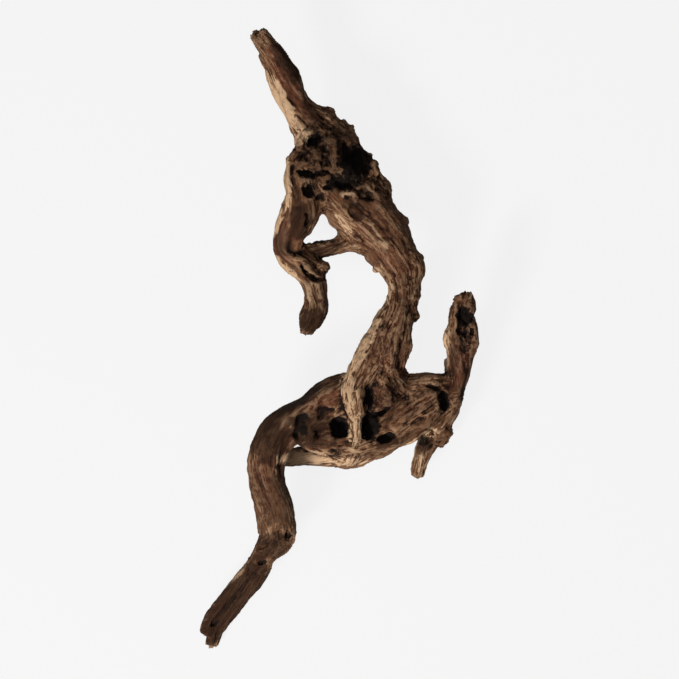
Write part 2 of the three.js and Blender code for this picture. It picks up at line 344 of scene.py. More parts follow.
def modified(skin: Skin, modifier: str, settings: dict[str, object]) -> Skin:
    """A skin after one of Blender's modifiers.

    Args:
        skin: the skin to change.
        modifier: the modifier's type.
        settings: the modifier's property values.

    Returns:
        The new skin. Nothing is left in the scene.
    """
    piece = bpy.data.objects.new("rough_wood", skin.mesh("rough_wood"))
    bpy.context.scene.collection.objects.link(piece)
    step = piece.modifiers.new(modifier, modifier)
    for key, value in settings.items():
        setattr(step, key, value)
    bpy.context.view_layer.update()
    changed = piece.evaluated_get(bpy.context.evaluated_depsgraph_get())
    result = Skin.of_mesh(changed.to_mesh())
    changed.to_mesh_clear()
    mesh = piece.data
    bpy.data.objects.remove(piece)
    bpy.data.meshes.remove(mesh)
    return result


def fused(skin: Skin, voxel: float) -> Skin:
    """Overlapping closed skins as one even skin, rebuilt from cubes of the given size in metres."""
    return modified(skin, "REMESH", {"mode": "VOXEL", "voxel_size": voxel, "adaptivity": 0.0})


def cut(skin: Skin, tools: Skin) -> Skin:
    """A skin with everything inside the tools taken out of it."""
    cutter = bpy.data.objects.new("hollows", tools.mesh("hollows"))
    bpy.context.scene.collection.objects.link(cutter)
    result = modified(skin, "BOOLEAN", {"operation": "DIFFERENCE", "solver": "MANIFOLD", "object": cutter})
    mesh = cutter.data
    bpy.data.objects.remove(cutter)
    bpy.data.meshes.remove(mesh)
    return result


class Character(Enum):
    """What a patch of the wood is like."""

    ROUGH = "rough"
    GNARLED = "gnarled"
    PARTED = "parted"
    # Burned wood, and painted shade in the hollows and creases.
    CHARRED_AND_PAINTED_SHADE = "charred_and_painted_shade"
    # Bleached wood, and partly painted light on the lit edges of limbs.
    PALE = "pale"
    RED = "red"
    # Darker wood, and partly painted shade on the shaded sides and upper edges of limbs.
    DARK = "dark"
    SMOOTH = "smooth"


@dataclass(frozen=True)
class Patch:
    """An oval of the wood, seen from above, with a character of its own.

    Attributes:
        character: what the wood is like there.
        centre: plan point, in plan millimetres.
        halves: half-length and half-width of the oval.
        turn: degrees that its length is turned from x, anticlockwise as seen.
        strength: how strong the character is in the middle.
    """

    character: Character
    centre: tuple[float, float]
    halves: tuple[float, float]
    turn: float = 0.0
    strength: float = 1.0

    def share(self, points: Array, stray: Array) -> Array:
        """How much of the patch each point has: its strength in the middle, fading to 0 at the oval's edge.

        Args:
            points: rows in metres.
            stray: numbers about 0 that make the edge uneven.

        Returns:
            One number for each point.
        """
        away = (points - place(*self.centre, 0.0))[:, :2] / MM
        turn = math.radians(self.turn)
        along = away @ np.array((math.cos(turn), math.sin(turn))) / self.halves[0]
        across = away @ np.array((-math.sin(turn), math.cos(turn))) / self.halves[1]
        return self.strength * smooth_step(1.25, 0.45, np.hypot(along, across) + 0.35 * stray)


@dataclass(frozen=True)
class Limb:
    """A limb: a ribbed tube along a curve.

    Attributes:
        name: what it is.
        cords: the number of cords that a section shows.
        twist: radians that the cords turn in a millimetre.
        relief: depth of the furrows between them, as a share of the half-width.
        gnarl: height of the limb's uneven surface, as a share of the half-width.
        stations: rows of x, y, the middle's height, half-width in plan and half-depth, in plan millimetres.
        torn: length of the torn fibres at the tip, in millimetres.
    """

    name: str
    cords: int
    twist: float
    relief: float
    gnarl: float
    stations: tuple[Station, ...]
    torn: float = 0.0

    @cached_property
    def _table(self) -> Array:
        """The stations in metres: three columns of place and two of half-size."""
        rows = np.array(self.stations, float)
        places = np.array([place(*row[:3]) for row in rows])
        return np.hstack((places, MM * rows[:, 3:]))

    @cached_property
    def _lengths(self) -> Array:
        """The curve's length up to each of the even places along it, in metres."""
        line = spline(self._table, np.linspace(0, 1, CURVE_PLACES))[:, :3]
        steps = np.linalg.norm(np.diff(line, axis=0), axis=1)
        return np.concatenate(([0.0], np.cumsum(steps)))

    @property
    def length(self) -> float:
        """The curve's length in metres."""
        return float(self._lengths[-1])

    @property
    def radius(self) -> float:
        """The mean of all the half-sizes, in metres."""
        return float(self._table[:, 3:].mean())

    def sections(self, along: Array) -> tuple[Array, Array, Array, Array, Array]:
        """The limb's sections at distances along its curve.

        A section stands square to the curve. One of its half-axes lies flat and the other one points up.

        Args:
            along: distances from the root, in metres.

        Returns:
            The middles, the unit directions ahead, across and above, and two columns with the half-width and
            the half-depth.
        """
        t = np.interp(along, self._lengths, np.linspace(0, 1, CURVE_PLACES))
        rows = spline(self._table, t)
        nudge = 1e-4
        after = spline(self._table, np.minimum(t + nudge, 1))[:, :3]
        before = spline(self._table, np.maximum(t - nudge, 0))[:, :3]
        ahead = unit(after - before)
        across = unit(np.cross((0.0, 0.0, 1.0), ahead))
        return rows[:, :3], ahead, across, np.cross(ahead, across), rows[:, 3:]

    def wander(self, along: Array, seed: float) -> Array:
        """Radians that the fibres stray sideways at distances along the limb, in metres."""
        return FIBRE_WANDER * value_noise(along / MM / WANDER_LENGTH, np.array(seed), np.array(0.5))

    def standing_out(self, along: Array, angle: Array, seed: float) -> Array:
        """How far the surface stands out, as a share of the half-width.

        Rounded cords with sharp furrows between them are the size of a sine. They wind round the limb as they
        run along it. Broad noise makes them uneven.

        Args:
            along: distances from the root, in metres.
            angle: radians round the limb.
            seed: the limb's own number.

        Returns:
            One number for each place.
        """
        turned = angle + self.twist * along / MM
        cords = 2 * np.abs(np.sin(self.cords / 2 * turned + self.wander(along, seed))) - 1
        east, north = GNARLS_ROUND * np.cos(angle), GNARLS_ROUND * np.sin(angle)
        return self.relief * cords + self.gnarl * value_noise(east + seed, north, along / MM / GNARL_SIZE)

    def tube(self, seed: float, step: float) -> Skin:
        """The limb's closed tube.

        A section's points are middle + across * half-width * cos(angle) + above * half-depth * sin(angle),
        with both half-sizes times 1 + standing_out. At both ends they shrink as an elliptic dome.

        Args:
            seed: the limb's own number.
            step: distance between points, in metres.

        Returns:
            The tube's skin.
        """
        ends = END_LENGTH * self._table[[0, -1], 3]
        dome = np.linspace(0, 1, 5)[1:]
        body = np.linspace(ends[0], self.length - ends[1], max(3, round(self.length / step)))[1:-1]
        along = np.concatenate((dome * ends[0], body, self.length - dome[::-1] * ends[1]))
        rise = np.sqrt(1 - (1 - dome) ** 2)
        shrink = np.concatenate((rise, np.ones(len(body)), rise[::-1]))
        middle, _, across, above, halves = self.sections(along)
        sides = max(12, round(2 * math.pi * float(self._table[:, 3:].max()) / step))
        angle = np.linspace(0, 2 * math.pi, sides, endpoint=False)
        out = shrink[:, None] * (1 + self.standing_out(along[:, None], angle[None, :], seed))
        flat = (halves[:, :1] * out * np.cos(angle))[..., None] * across[:, None, :]
        steep = (halves[:, 1:] * out * np.sin(angle))[..., None] * above[:, None, :]
        rings = (middle[:, None, :] + flat + steep).reshape(-1, 3)
        tips = self.sections(np.array((0.0, self.length)))[0]
        return Skin(np.vstack((tips[:1], rings, tips[1:])), ring_triangles(len(along), sides))


def lump(centre: Array, halves: Array, turn: float, unevenness: float, seed: float) -> Skin:
    """A ball stretched to its half-sizes and turned in plan, with an uneven skin.

    A point is the unit direction (sin u cos v, sin u sin v, -cos u), times 1 + unevenness * noise, times the
    half-sizes.

    Args:
        centre: its middle, in metres.
        halves: its three half-sizes, in metres.
        turn: degrees anticlockwise, seen from above.
        unevenness: height of the bumps, as a share of the size.
        seed: the lump's own number.

    Returns:
        The lump's skin.
    """
    u = np.linspace(0, math.pi, LUMP_RINGS + 2)[:, None]
    v = np.linspace(0, 2 * math.pi, LUMP_SIDES, endpoint=False)[None, :]
    grid = np.stack(np.broadcast_arrays(np.sin(u) * np.cos(v), np.sin(u) * np.sin(v), -np.cos(u)), axis=2)
    ball = np.vstack((grid[0, :1], grid[1:-1].reshape(-1, 3), grid[-1, :1]))
    bumps = value_noise(LUMP_BUMPS * ball[:, 0] + seed, LUMP_BUMPS * ball[:, 1], LUMP_BUMPS * ball[:, 2])
    bumps = bumps + FINER_HEIGHT * grain_noise(LUMP_BUMPS * FINER_BUMPS * ball + seed, 71)
    ball = ball * (1 + unevenness * bumps)[:, None] * halves
    c, s = math.cos(math.radians(turn)), math.sin(math.radians(turn))
    turned = ball @ np.array(((c, s, 0), (-s, c, 0), (0, 0, 1)))
    return Skin(centre + turned, ring_triangles(LUMP_RINGS, LUMP_SIDES))


@dataclass(frozen=True)
class Burl:
    """A burl or a knee: an uneven lump that stands out of the limbs.

    Attributes:
        name: what it is.
        centre: plan point and height of its middle, in plan millimetres.
        halves: half-length, half-width and half-depth.
        turn: degrees in plan.
        unevenness: height of its bumps, as a share of its size.
    """

    name: str
    centre: tuple[float, float, float]
    halves: tuple[float, float, float]
    turn: float
    unevenness: float = 0.14

    def skin(self, seed: float) -> Skin:
        """The burl's uneven ball."""
        return lump(place(*self.centre), MM * np.array(self.halves), self.turn, self.unevenness, seed)


@dataclass(frozen=True)
class Hollow:
    """A rot pocket, slot or hole, sunk from the surface.

    Attributes:
        name: what it is.
        centre: plan point of its middle, in plan millimetres.
        halves: half-length, half-width and depth.
        turn: degrees in plan.
        side: 1 if it is sunk from above, -1 from below.
        unevenness: height of its bumps, as a share of its size.
    """

    name: str
    centre: tuple[float, float]
    halves: tuple[float, float, float]
    turn: float
    side: int = 1
    unevenness: float = 0.3

    def middle(self, wood: Skin) -> Array:
        """The wood's highest point near the hollow's plan point, or its lowest one for a hollow from below.

        Args:
            wood: the skin before anything is cut.

        Returns:
            The hollow's middle, in metres.
        """
        at = place(*self.centre, 0.0)
        reach = MM * (min(self.halves[:2]) + BRIM)
        near = np.hypot(*(wood.points - at)[:, :2].T) < reach
        heights = wood.points[near, 2]
        at[2] = heights.max() if self.side > 0 else heights.min()
        return at

    def skin(self, wood: Skin, seed: float) -> Skin:
        """The hollow's uneven ball, where it meets the wood."""
        return lump(self.middle(wood), MM * np.array(self.halves), self.turn, self.unevenness, seed)


@dataclass(frozen=True)
class Form:
    """A kind of form that the skin is carved with. Its sizes are in millimetres.

    Attributes:
        height: how high or deep it is.
        across: its size across the fibres, or all round.
        along: its size along the fibres.
        seed: picks its noise.
    """

    height: float
    across: float
    along: float
    seed: int

    def all_round(self, points: Array) -> Array:
        """Its noise at points in millimetres, for a form that doesn't follow the fibres."""
        return grain_noise(points / self.across, self.seed)


@dataclass
class Fibres:
    """Where points lie in the straightened wood of their own limbs.

    Attributes:
        place: rows of across, above and along, in millimetres, twisted back so that fibres run along the
            third axis.
        limb: the number of each point's limb.
        lead: how much nearer the point is to its own limb than to the next one, in units of their half-sizes.
        to_tip: distance to the limb's tip along it, in millimetres.
        ahead: the limb's unit direction towards its tip.
    """

    place: Array
    limb: Array
    lead: Array
    to_tip: Array
    ahead: Array

    # How near a limb a point has to be to be looked at, in half-sizes, and how far all the others count as.
    NEAR: ClassVar[float] = 2.2
    FAR: ClassVar[float] = 9.0

    # The millimetres between places on an axis and between two limbs' fibres, and the points in one go.
    AXIS_STEP: ClassVar[float] = 2.0
    APART: ClassVar[float] = 97.0
    BATCH: ClassVar[int] = 40000

    # The lead at which a limb's surface is all its own, and the share of a noise's height that a cord takes.
    SEAM: ClassVar[float] = 0.22
    CORD_SHARE: ClassVar[float] = 0.22

    @classmethod
    def of(cls, limbs: tuple[Limb, ...], points: Array) -> "Fibres":
        """Finds each point's limb and its place in it.

        A point belongs to the limb whose axis is nearest in units of the limb's own half-sizes. Its place is
        that distance times the limb's mean radius, at its angle round the limb with the twist taken off.

        Args:
            limbs: the limbs, in the order of their seeds.
            points: rows in metres.

        Returns:
            The fibres at the points.
        """
        count = len(points)
        nearest, second = np.full(count, cls.FAR), np.full(count, cls.FAR)
        found = cls(
            place=np.zeros((count, 3)),
            limb=np.zeros(count, int),
            lead=np.zeros(count),
            to_tip=np.zeros(count),
            ahead=np.zeros((count, 3)),
        )
        for number, limb in enumerate(limbs):
            along = np.arange(0, limb.length, cls.AXIS_STEP * MM)
            middle, ahead, across, above, halves = limb.sections(along)
            margin = cls.NEAR * halves.max()
            inside = np.all((points > middle.min(0) - margin) & (points < middle.max(0) + margin), axis=1)
            rows = np.flatnonzero(inside)
            for chunk in np.array_split(rows, max(1, len(rows) // cls.BATCH)):
                p = points[chunk]
                squares = (middle**2).sum(1) - 2 * p @ middle.T
                k = squares.argmin(1)
                away = p - middle[k]
                step = (away * ahead[k]).sum(1)
                flat = (away * across[k]).sum(1) / halves[k, 0]
                steep = (away * above[k]).sum(1) / halves[k, 1]
                past = np.where((k == 0) | (k == len(along) - 1), step / halves[k, 0], 0.0)
                reach = np.sqrt(flat**2 + steep**2 + past**2)
                run = along[k] + step
                turned = np.arctan2(steep, flat) + limb.twist * run / MM
                turned += 2 / limb.cords * limb.wander(run, number + LIMB_SEED)
                size = limb.radius / MM * np.hypot(flat, steep)
                straight = np.stack((size * np.cos(turned), size * np.sin(turned), run / MM), axis=1)
                closer = reach < nearest[chunk]
                won = chunk[closer]
                second[chunk] = np.minimum(second[chunk], np.where(closer, nearest[chunk], reach))
                nearest[won] = reach[closer]
                found.place[won] = straight[closer] + cls.APART * number
                found.limb[won] = number
                found.to_tip[won] = (limb.length - run[closer]) / MM
                found.ahead[won] = ahead[k[closer]]
        found.lead = second - nearest
        return found

    @property
    def inner(self) -> Array:
        """0 on the line where two limbs meet, 1 well away from it."""
        return smooth_step(0.0, self.SEAM, self.lead)

    def noise(self, form: Form) -> Array:
        """A form's noise, drawn out along the fibres: a number from about -1 to 1 for each point."""
        return grain_noise(self.place / (form.across, form.across, form.along), form.seed)

    def cords(self, form: Form) -> Array:
        """Rounded cords with sharp furrows between them: the noise's size, from -1 in a furrow to about 1."""
        return np.minimum(np.abs(self.noise(form)) / self.CORD_SHARE, 2.0) - 1.0

    def splits(self, form: Form, width: float) -> Array:
        """Narrow splits, where the noise changes sign and a broader noise allows them.

        Args:
            form: the splits' sizes.
            width: their width, as a share of the noise's height.

        Returns:
            0 outside the splits and 1 in their middle.
        """
        line = np.exp(-((self.noise(form) / width) ** 2))
        broader = Form(form.height, 2.2 * form.across, 1.4 * form.along, form.seed + 1)
        return line * smooth_step(0.08, 0.45, self.noise(broader))


@dataclass(frozen=True)
class Carving:
    """How the wood's skin is carved, coarse first and then fine.

    The fields are the kinds of form, and then the depth of the seam between two limbs and what comes off the
    steep sides, both in millimetres.
    """

    calm_areas: Form = Form(1.0, 24.0, 24.0, 30)
    cords: Form = Form(0.7, 9.0, 75.0, 11)
    narrow_cords: Form = Form(0.385, 4.8, 60.0, 12)
    splits: Form = Form(1.5, 9.0, 80.0, 21)
    gnarls: Form = Form(2.2, 14.0, 14.0, 31)
    knobs: Form = Form(1.8, 6.5, 6.5, 32)
    lobes: Form = Form(0.6, 9.0, 19.0, 43)
    burrs: Form = Form(5.0, 13.0, 13.0, 37)
    burr_folds: Form = Form(3.0, 9.0, 9.0, 38)
    pocks: Form = Form(2.6, 9.0, 9.0, 36)
    blisters: Form = Form(1.2, 6.0, 6.0, 33)
    tears: Form = Form(5.0, 3.2, 40.0, 41)
    thin_tears: Form = Form(2.5, 1.7, 30.0, 42)
    frays: Form = Form(1.0, 8.0, 26.0, 44)
    strands: Form = Form(0.65, 2.8, 28.0, 13)
    hairs: Form = Form(0.36, 1.5, 18.0, 14)
    thin_splits: Form = Form(0.8, 4.0, 50.0, 23)
    crumbs: Form = Form(0.5, 3.4, 3.4, 34)
    wrinkles: Form = Form(1.7, 4.5, 9.0, 39)
    crumples: Form = Form(1.02, 3.2, 3.2, 40)
    pits: Form = Form(0.6, 2.6, 2.6, 35)
    seam_depth: float = 0.3
    trim: float = 0.55

    def coarse(self, skin: Skin, fibres: Fibres, character: dict[Character, Array]) -> Skin:
        """Broad cords, splits, knobs and torn tips.

        Args:
            skin: the faired skin.
            fibres: its fibres.
            character: each character's share at each point.

        Returns:
            The carved skin.
        """
        mm, normals = skin.points / MM, skin.normals()
        rough, gnarled = character[Character.ROUGH], character[Character.GNARLED]
        even = 1 - 0.8 * character[Character.SMOOTH]
        calm = even * (0.3 + 0.7 * smooth_step(-0.35, 0.45, self.calm_areas.all_round(mm)))
        height = self.cords.height * calm * fibres.cords(self.cords) * (0.35 + 0.65 * fibres.inner)
        height += self.narrow_cords.height * calm * fibres.cords(self.narrow_cords)
        height -= self.splits.height * calm * fibres.splits(self.splits, 0.07)
        height += self.gnarls.height * (0.3 + 0.9 * rough) * even * self.gnarls.all_round(mm)
        height += self.knobs.height * (0.25 + 0.9 * rough) * even * self.knobs.all_round(mm)
        height += self.lobes.height * (0.3 + rough) * even * (np.abs(fibres.noise(self.lobes)) / 0.25 - 1.0)
        height += self.burrs.height * gnarled * (self.burrs.all_round(mm) + 0.35)
        height += self.burr_folds.height * gnarled * (0.3 - 1.3 * np.abs(self.burr_folds.all_round(mm)))
        height -= self.pocks.height * gnarled * smooth_step(0.25, 0.6, self.pocks.all_round(mm))
        blisters = np.abs(self.blisters.all_round(mm)) / 0.25 - 1.0
        height += self.blisters.height * character[Character.CHARRED_AND_PAINTED_SHADE] * blisters
        height -= self.seam_depth * (1 - fibres.inner) + self.trim * (1 - normals[:, 2] ** 2)
        torn = np.array([limb.torn for limb in LIMBS])[fibres.limb]
        near_tip = smooth_step(1.0, 0.0, fibres.to_tip / np.maximum(torn, 0.01)) * (torn > 0)
        tear = self.tears.height * (fibres.noise(self.tears) - 0.15)
        tear = near_tip * (tear + self.thin_tears.height * fibres.noise(self.thin_tears))
        moved = skin.points + MM * (height[:, None] * normals + tear[:, None] * fibres.ahead)
        return Skin(moved, skin.triangles)

    def fine(self, skin: Skin, fibres: Fibres, character: dict[Character, Array]) -> Skin:
        """Strands, fibres and small pits.

        Args:
            skin: the coarsely carved skin.
            fibres: its fibres.
            character: each character's share at each point.

        Returns:
            The carved skin.
        """
        mm = skin.points / MM
        rough, charred_and_painted_shade = character[Character.ROUGH], character[Character.CHARRED_AND_PAINTED_SHADE]
        calm = 1 - 0.7 * character[Character.SMOOTH]
        frayed = 0.35 + 0.65 * smooth_step(-0.4, 0.4, fibres.noise(self.frays))
        height = self.strands.height * calm * frayed * fibres.cords(self.strands)
        height += self.hairs.height * calm * fibres.cords(self.hairs)
        height -= self.thin_splits.height * calm * fibres.splits(self.thin_splits, 0.09)
        height += self.crumbs.height * (0.2 + rough) * self.crumbs.all_round(mm)
        crumpled = rough + character[Character.GNARLED]
        height += self.wrinkles.height * crumpled * (0.3 - np.abs(fibres.noise(self.wrinkles)))
        height += self.crumples.height * crumpled * (0.3 - np.abs(self.crumples.all_round(mm)))
        height -= self.pits.height * (0.2 + rough + charred_and_painted_shade) * smooth_step(0.25, 0.6, self.pits.all_round(mm))
        return Skin(skin.points + MM * height[:, None] * skin.normals(), skin.triangles)


# The characters that the finish shows. The other ones only shape the wood.
SHOWN = (
    Character.ROUGH, Character.CHARRED_AND_PAINTED_SHADE, Character.PALE, Character.RED, Character.DARK, Character.SMOOTH,
)

# How deep each point lies below its surroundings: the attribute, the rounds of spreading that give the
# surroundings, and the depth in millimetres that counts as 1.
# The finish paints shade by these depths, and paints highlights on the raised crests.
HOLLOWNESS = (("furrow", 3, 0.28), ("valley", 30, 1.8), ("cavity", 160, 5.5))


@dataclass(frozen=True)
class Wood:
    """The whole piece of driftwood: its limbs, burls, hollows, patches and carving.

    Attributes:
        limbs: from the head to the shin, in the order of their seeds.
        burls: the lumps.
        hollows: what is cut out.
        patches: where the wood has a character of its own.
        splinters: small limbs that are only shape and have no fibres of their own.
        bumps: small burls of the same kind.
        pits: small hollows, cut with the large ones.
        gouges: limb-shaped grooves, cut with them too.
        shards: small limbs that are left standing in the hollows.
        carving: how the skin is carved.
        edges: how the patches' edges stray.
        finer_edges: how they stray within that.
        fillet: the most that a crease between two limbs is filled.
        fill_rounds: how far its surroundings reach, in rounds of spreading, coarse and then fine.
        step: distance between points of the tubes, in metres.
        voxel: size of the cubes that fuse them.
        fine_voxel: size of the cubes that the carved skin is rebuilt from.
        most_triangles: that the finished piece may have.
    """

    limbs: tuple[Limb, ...]
    burls: tuple[Burl, ...]
    hollows: tuple[Hollow, ...]
    patches: tuple[Patch, ...]
    splinters: tuple[Limb, ...]
    bumps: tuple[Burl, ...]
    pits: tuple[Hollow, ...]
    gouges: tuple[Limb, ...]
    shards: tuple[Limb, ...]
    carving: Carving = Carving()
    edges: Form = Form(1.0, 9.0, 9.0, 51)
    finer_edges: Form = Form(0.6, 4.0, 4.0, 52)
    fillet: float = 5.0 * MM
    fill_rounds: tuple[int, int] = (90, 25)
    step: float = 1.7 * MM
    voxel: float = 1.2 * MM
    fine_voxel: float = 1.0 * MM
    most_triangles: int = 196000

    def solid(self) -> Skin:
        """The limbs, burls and splinters fused, with the hollows cut out."""
        grown = self._tubes(self.limbs, LIMB_SEED) + self._tubes(self.splinters, SPLINTER_SEED)
        lumps = [burl.skin(number + BURL_SEED) for number, burl in enumerate(self.burls + self.bumps)]
        whole = self.grown_together(fused(Skin.joined(grown + lumps), self.voxel))
        sunk = self.hollows + self.pits
        tools = [hollow.skin(whole, number + HOLLOW_SEED) for number, hollow in enumerate(sunk)]
        tools += self._tubes(self.gouges, GOUGE_SEED)
        hollowed = cut(whole, fused(Skin.joined(tools), self.voxel))
        return fused(Skin.joined([hollowed, *self._tubes(self.shards, SHARD_SEED)]), self.voxel)

    def _tubes(self, limbs: tuple[Limb, ...], first_seed: float) -> list[Skin]:
        """The limbs' tubes, each with a seed of its own.

        Args:
            limbs: the limbs.
            first_seed: the first one's seed. Each of the others has one more than the one before it.

        Returns:
            One skin for each limb.
        """
        return [limb.tube(number + first_seed, self.step) for number, limb in enumerate(limbs)]

    def grown_together(self, skin: Skin) -> Skin:
        """The fused limbs with the creases between them filled, as wood that grew together fills them.

        A point in a crease moves out towards the mean of its surroundings, by no more than the fillet.

        Args:
            skin: the fused limbs.

        Returns:
            The skin with softer creases.
        """
        crease = smooth_step(0.6, 0.1, Fibres.of(self.limbs, skin.points).lead)
        crease *= 1 - self.character(skin.points)[Character.PARTED]
        points = skin.points
        for rounds in self.fill_rounds:
            normals = Skin(points, skin.triangles).normals()
            out = ((skin.spread(points, rounds) - points) * normals).sum(1)
            out = skin.spread(crease * np.clip(1.5 * out, 0, self.fillet), 4)
            points = points + out[:, None] * normals
        return Skin(points, skin.triangles).faired(2)

    def character(self, points: Array) -> dict[Character, Array]:
        """Each character's share at each point, from 0 to 1.

        Args:
            points: rows in metres.

        Returns:
            One array for each character.
        """
        mm = points / MM
        stray = self.edges.height * self.edges.all_round(mm)
        stray += self.finer_edges.height * self.finer_edges.all_round(mm)
        shares = {kind: np.zeros(len(points)) for kind in Character}
        for patch in self.patches:
            shares[patch.character] = np.maximum(shares[patch.character], patch.share(points, stray))
        return shares

    def surface(self) -> Skin:
        """The finished skin: fused, faired, carved and thinned to the most triangles."""
        skin = self.solid().faired(3)
        LOG.info("fused wood: %d triangles", len(skin.triangles))
        skin = self.carving.coarse(skin, Fibres.of(self.limbs, skin.points), self.character(skin.points))
        skin = fused(skin, self.fine_voxel).faired(1)
        skin = self.carving.fine(skin, Fibres.of(self.limbs, skin.points), self.character(skin.points))
        skin = resting(skin)
        LOG.info("carved wood: %d triangles", len(skin.triangles))
        ratio = self.most_triangles / len(skin.triangles)
        if ratio < 1:
            skin = modified(skin, "DECIMATE", {"ratio": ratio, "use_collapse_triangulate": True})
        return skin

    def piece(self) -> bpy.types.Object:
        """The dressed piece, with what its finish reads stored at its vertices."""
        skin = self.surface()
        LOG.info("finished wood: %d triangles", len(skin.triangles))
        mesh = skin.mesh(PIECE)
        store(mesh, "fibre", Fibres.of(self.limbs, skin.points).place * MM)
        character = self.character(skin.points)
        for kind in SHOWN:
            store(mesh, kind.value, character[kind])
        normals = skin.normals()
        for name, rounds, reach in HOLLOWNESS:
            sunk = ((skin.spread(skin.points, rounds) - skin.points) * normals).sum(1) / MM
            store(mesh, name, np.clip(sunk / reach, -1, 1))
        piece = bpy.data.objects.new(PIECE, mesh)
        bpy.context.scene.collection.objects.link(piece)
        mesh.materials.append(WeatheredWood().material())
        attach(piece, BODY)
        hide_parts(NODE)
        return piece


def resting(skin: Skin) -> Skin:
    """A skin with whatever reaches below the table pressed flat onto it."""
    points = skin.points.copy()
    points[:, 2] = np.maximum(points[:, 2], 0.0)
    return Skin(points, skin.triangles)


def store(mesh: bpy.types.Mesh, name: str, values: Array) -> None:
    """Stores one number or one row of three at each vertex of a mesh.

    Args:
        mesh: the mesh.
        name: the attribute's name.
        values: one number or one row for each vertex.
    """
    vector = values.ndim == 2
    attribute = mesh.attributes.new(name, "FLOAT_VECTOR" if vector else "FLOAT", "POINT")
    attribute.data.foreach_set("vector" if vector else "value", values.astype(np.float32).ravel())


@dataclass(frozen=True)
class Signal:
    """A shader socket that Python's operators work on. Each operation adds one Math node."""

    sheet: "NodeSheet"
    socket: bpy.types.NodeSocket

    def _math(self, operation: str, *values: "Signal | float", clamp: bool = False) -> "Signal":
        """One Math node.

        Args:
            operation: the Math node's operation.
            values: what goes in, in order.
            clamp: whether the result is kept from 0 to 1.

        Returns:
            The result.
        """
        settings = {"operation": operation, "use_clamp": clamp}
        return self.sheet.node("ShaderNodeMath", settings, dict(enumerate(values)))

    def __add__(self, other: "Signal | float") -> "Signal":
        """The sum."""
        return self._math("ADD", self, other)

    def __mul__(self, other: "Signal | float") -> "Signal":
        """The product."""
        return self._math("MULTIPLY", self, other)

    def __sub__(self, other: "Signal | float") -> "Signal":
        """The difference."""
        return self._math("SUBTRACT", self, other)

    def __rsub__(self, other: float) -> "Signal":
        """A number minus the signal."""
        return self._math("SUBTRACT", other, self)

    __radd__ = __add__
    __rmul__ = __mul__

    def clamped(self) -> "Signal":
        """The signal kept from 0 to 1."""
        return self._math("ADD", self, 0.0, clamp=True)

    def above(self, low: float, high: float) -> "Signal":
        """0 below low and 1 above high, with a smooth rise between them; low may be the larger one.

        Args:
            low: where the rise starts.
            high: where it ends.

        Returns:
            The new signal.
        """
        settings = {"interpolation_type": "SMOOTHSTEP"}
        swapped = low > high
        limits = (high, low, 1.0, 0.0) if swapped else (low, high, 0.0, 1.0)
        names = ("From Min", "From Max", "To Min", "To Max")
        return self.sheet.node("ShaderNodeMapRange", settings, {"Value": self, **dict(zip(names, limits))})


class NodeSheet:
    """A material's node tree, and the short ways to add nodes to it."""

    def __init__(self, name: str) -> None:
        """Starts an empty material.

        Args:
            name: the material's name.
        """
        self.material = bpy.data.materials.new(name)
        self.material.use_nodes = True
        self.tree = self.material.node_tree
        self.tree.nodes.clear()

    def node(
        self,
        kind: str,
        settings: dict[str, object],
        inputs: dict[str | int, object],
        output: str | int | None = 0,
    ) -> Signal | None:
        """Adds a node.

        Args:
            kind: the node's type.
            settings: its properties, set first. For a ramp, "stops" holds rows of a place and a colour.
            inputs: values or signals, by the sockets' names or numbers.
            output: the socket that is wanted, or None at the end of the tree.

        Returns:
            The wanted output, or None.
        """
        made = self.tree.nodes.new(kind)
        for key, value in settings.items():
            if key == "stops":
                self._set_stops(made.color_ramp, value)
            else:
                setattr(made, key, value)
        for key, value in inputs.items():
            socket = made.inputs[key]
            if isinstance(value, Signal):
                self.tree.links.new(value.socket, socket)
            else:
                socket.default_value = value
        return None if output is None else Signal(self, made.outputs[output])

    @staticmethod
    def _set_stops(ramp: bpy.types.ColorRamp, stops: tuple[tuple[float, Colour], ...]) -> None:
        """Gives a ramp its stops."""
        while len(ramp.elements) < len(stops):
            ramp.elements.new(1.0)
        for element, (position, colour) in zip(ramp.elements, stops):
            element.position = position
            element.color = (*colour, 1.0)

    def attribute(self, name: str) -> Signal:
        """A number stored at the vertices."""
        return self.node("ShaderNodeAttribute", {"attribute_name": name}, {}, "Fac")

    def vector_attribute(self, name: str) -> Signal:
        """A vector stored at the vertices."""
        return self.node("ShaderNodeAttribute", {"attribute_name": name}, {}, "Vector")

    def scaled(self, vector: Signal, sizes: tuple[float, float, float]) -> Signal:
        """A vector divided by a size on each axis."""
        return self.node("ShaderNodeVectorMath", {"operation": "DIVIDE"}, {0: vector, 1: sizes})

    def place(self) -> Signal:
        """The point's place in the piece's own frame."""
        return self.node("ShaderNodeTexCoord", {}, {}, "Object")

    def noise(self, vector: Signal, detail: float, rough: float) -> Signal:
        """Noise from 0 to 1 at a vector that is already in steps of the noise's size."""
        inputs = {"Vector": vector, "Scale": 1.0, "Detail": detail, "Roughness": rough}
        return self.node("ShaderNodeTexNoise", {}, inputs, "Fac")

    def mixed(self, share: Signal, base: Signal, laid_over: Colour) -> Signal:
        """A colour laid over another one.

        Args:
            share: how much of the second colour shows.
            base: the first colour.
            laid_over: the second colour.

        Returns:
            The mixed colour.
        """
        settings = {"data_type": "RGBA", "blend_type": "MIX", "clamp_factor": True}
        return self.node("ShaderNodeMix", settings, {0: share, 6: base, 7: (*laid_over, 1.0)}, 2)

    def surface(self, shader: Signal) -> bpy.types.Material:
        """Ends the tree with a shader and gives its material."""
        self.node("ShaderNodeOutputMaterial", {}, {"Surface": shader}, None)
        return self.material


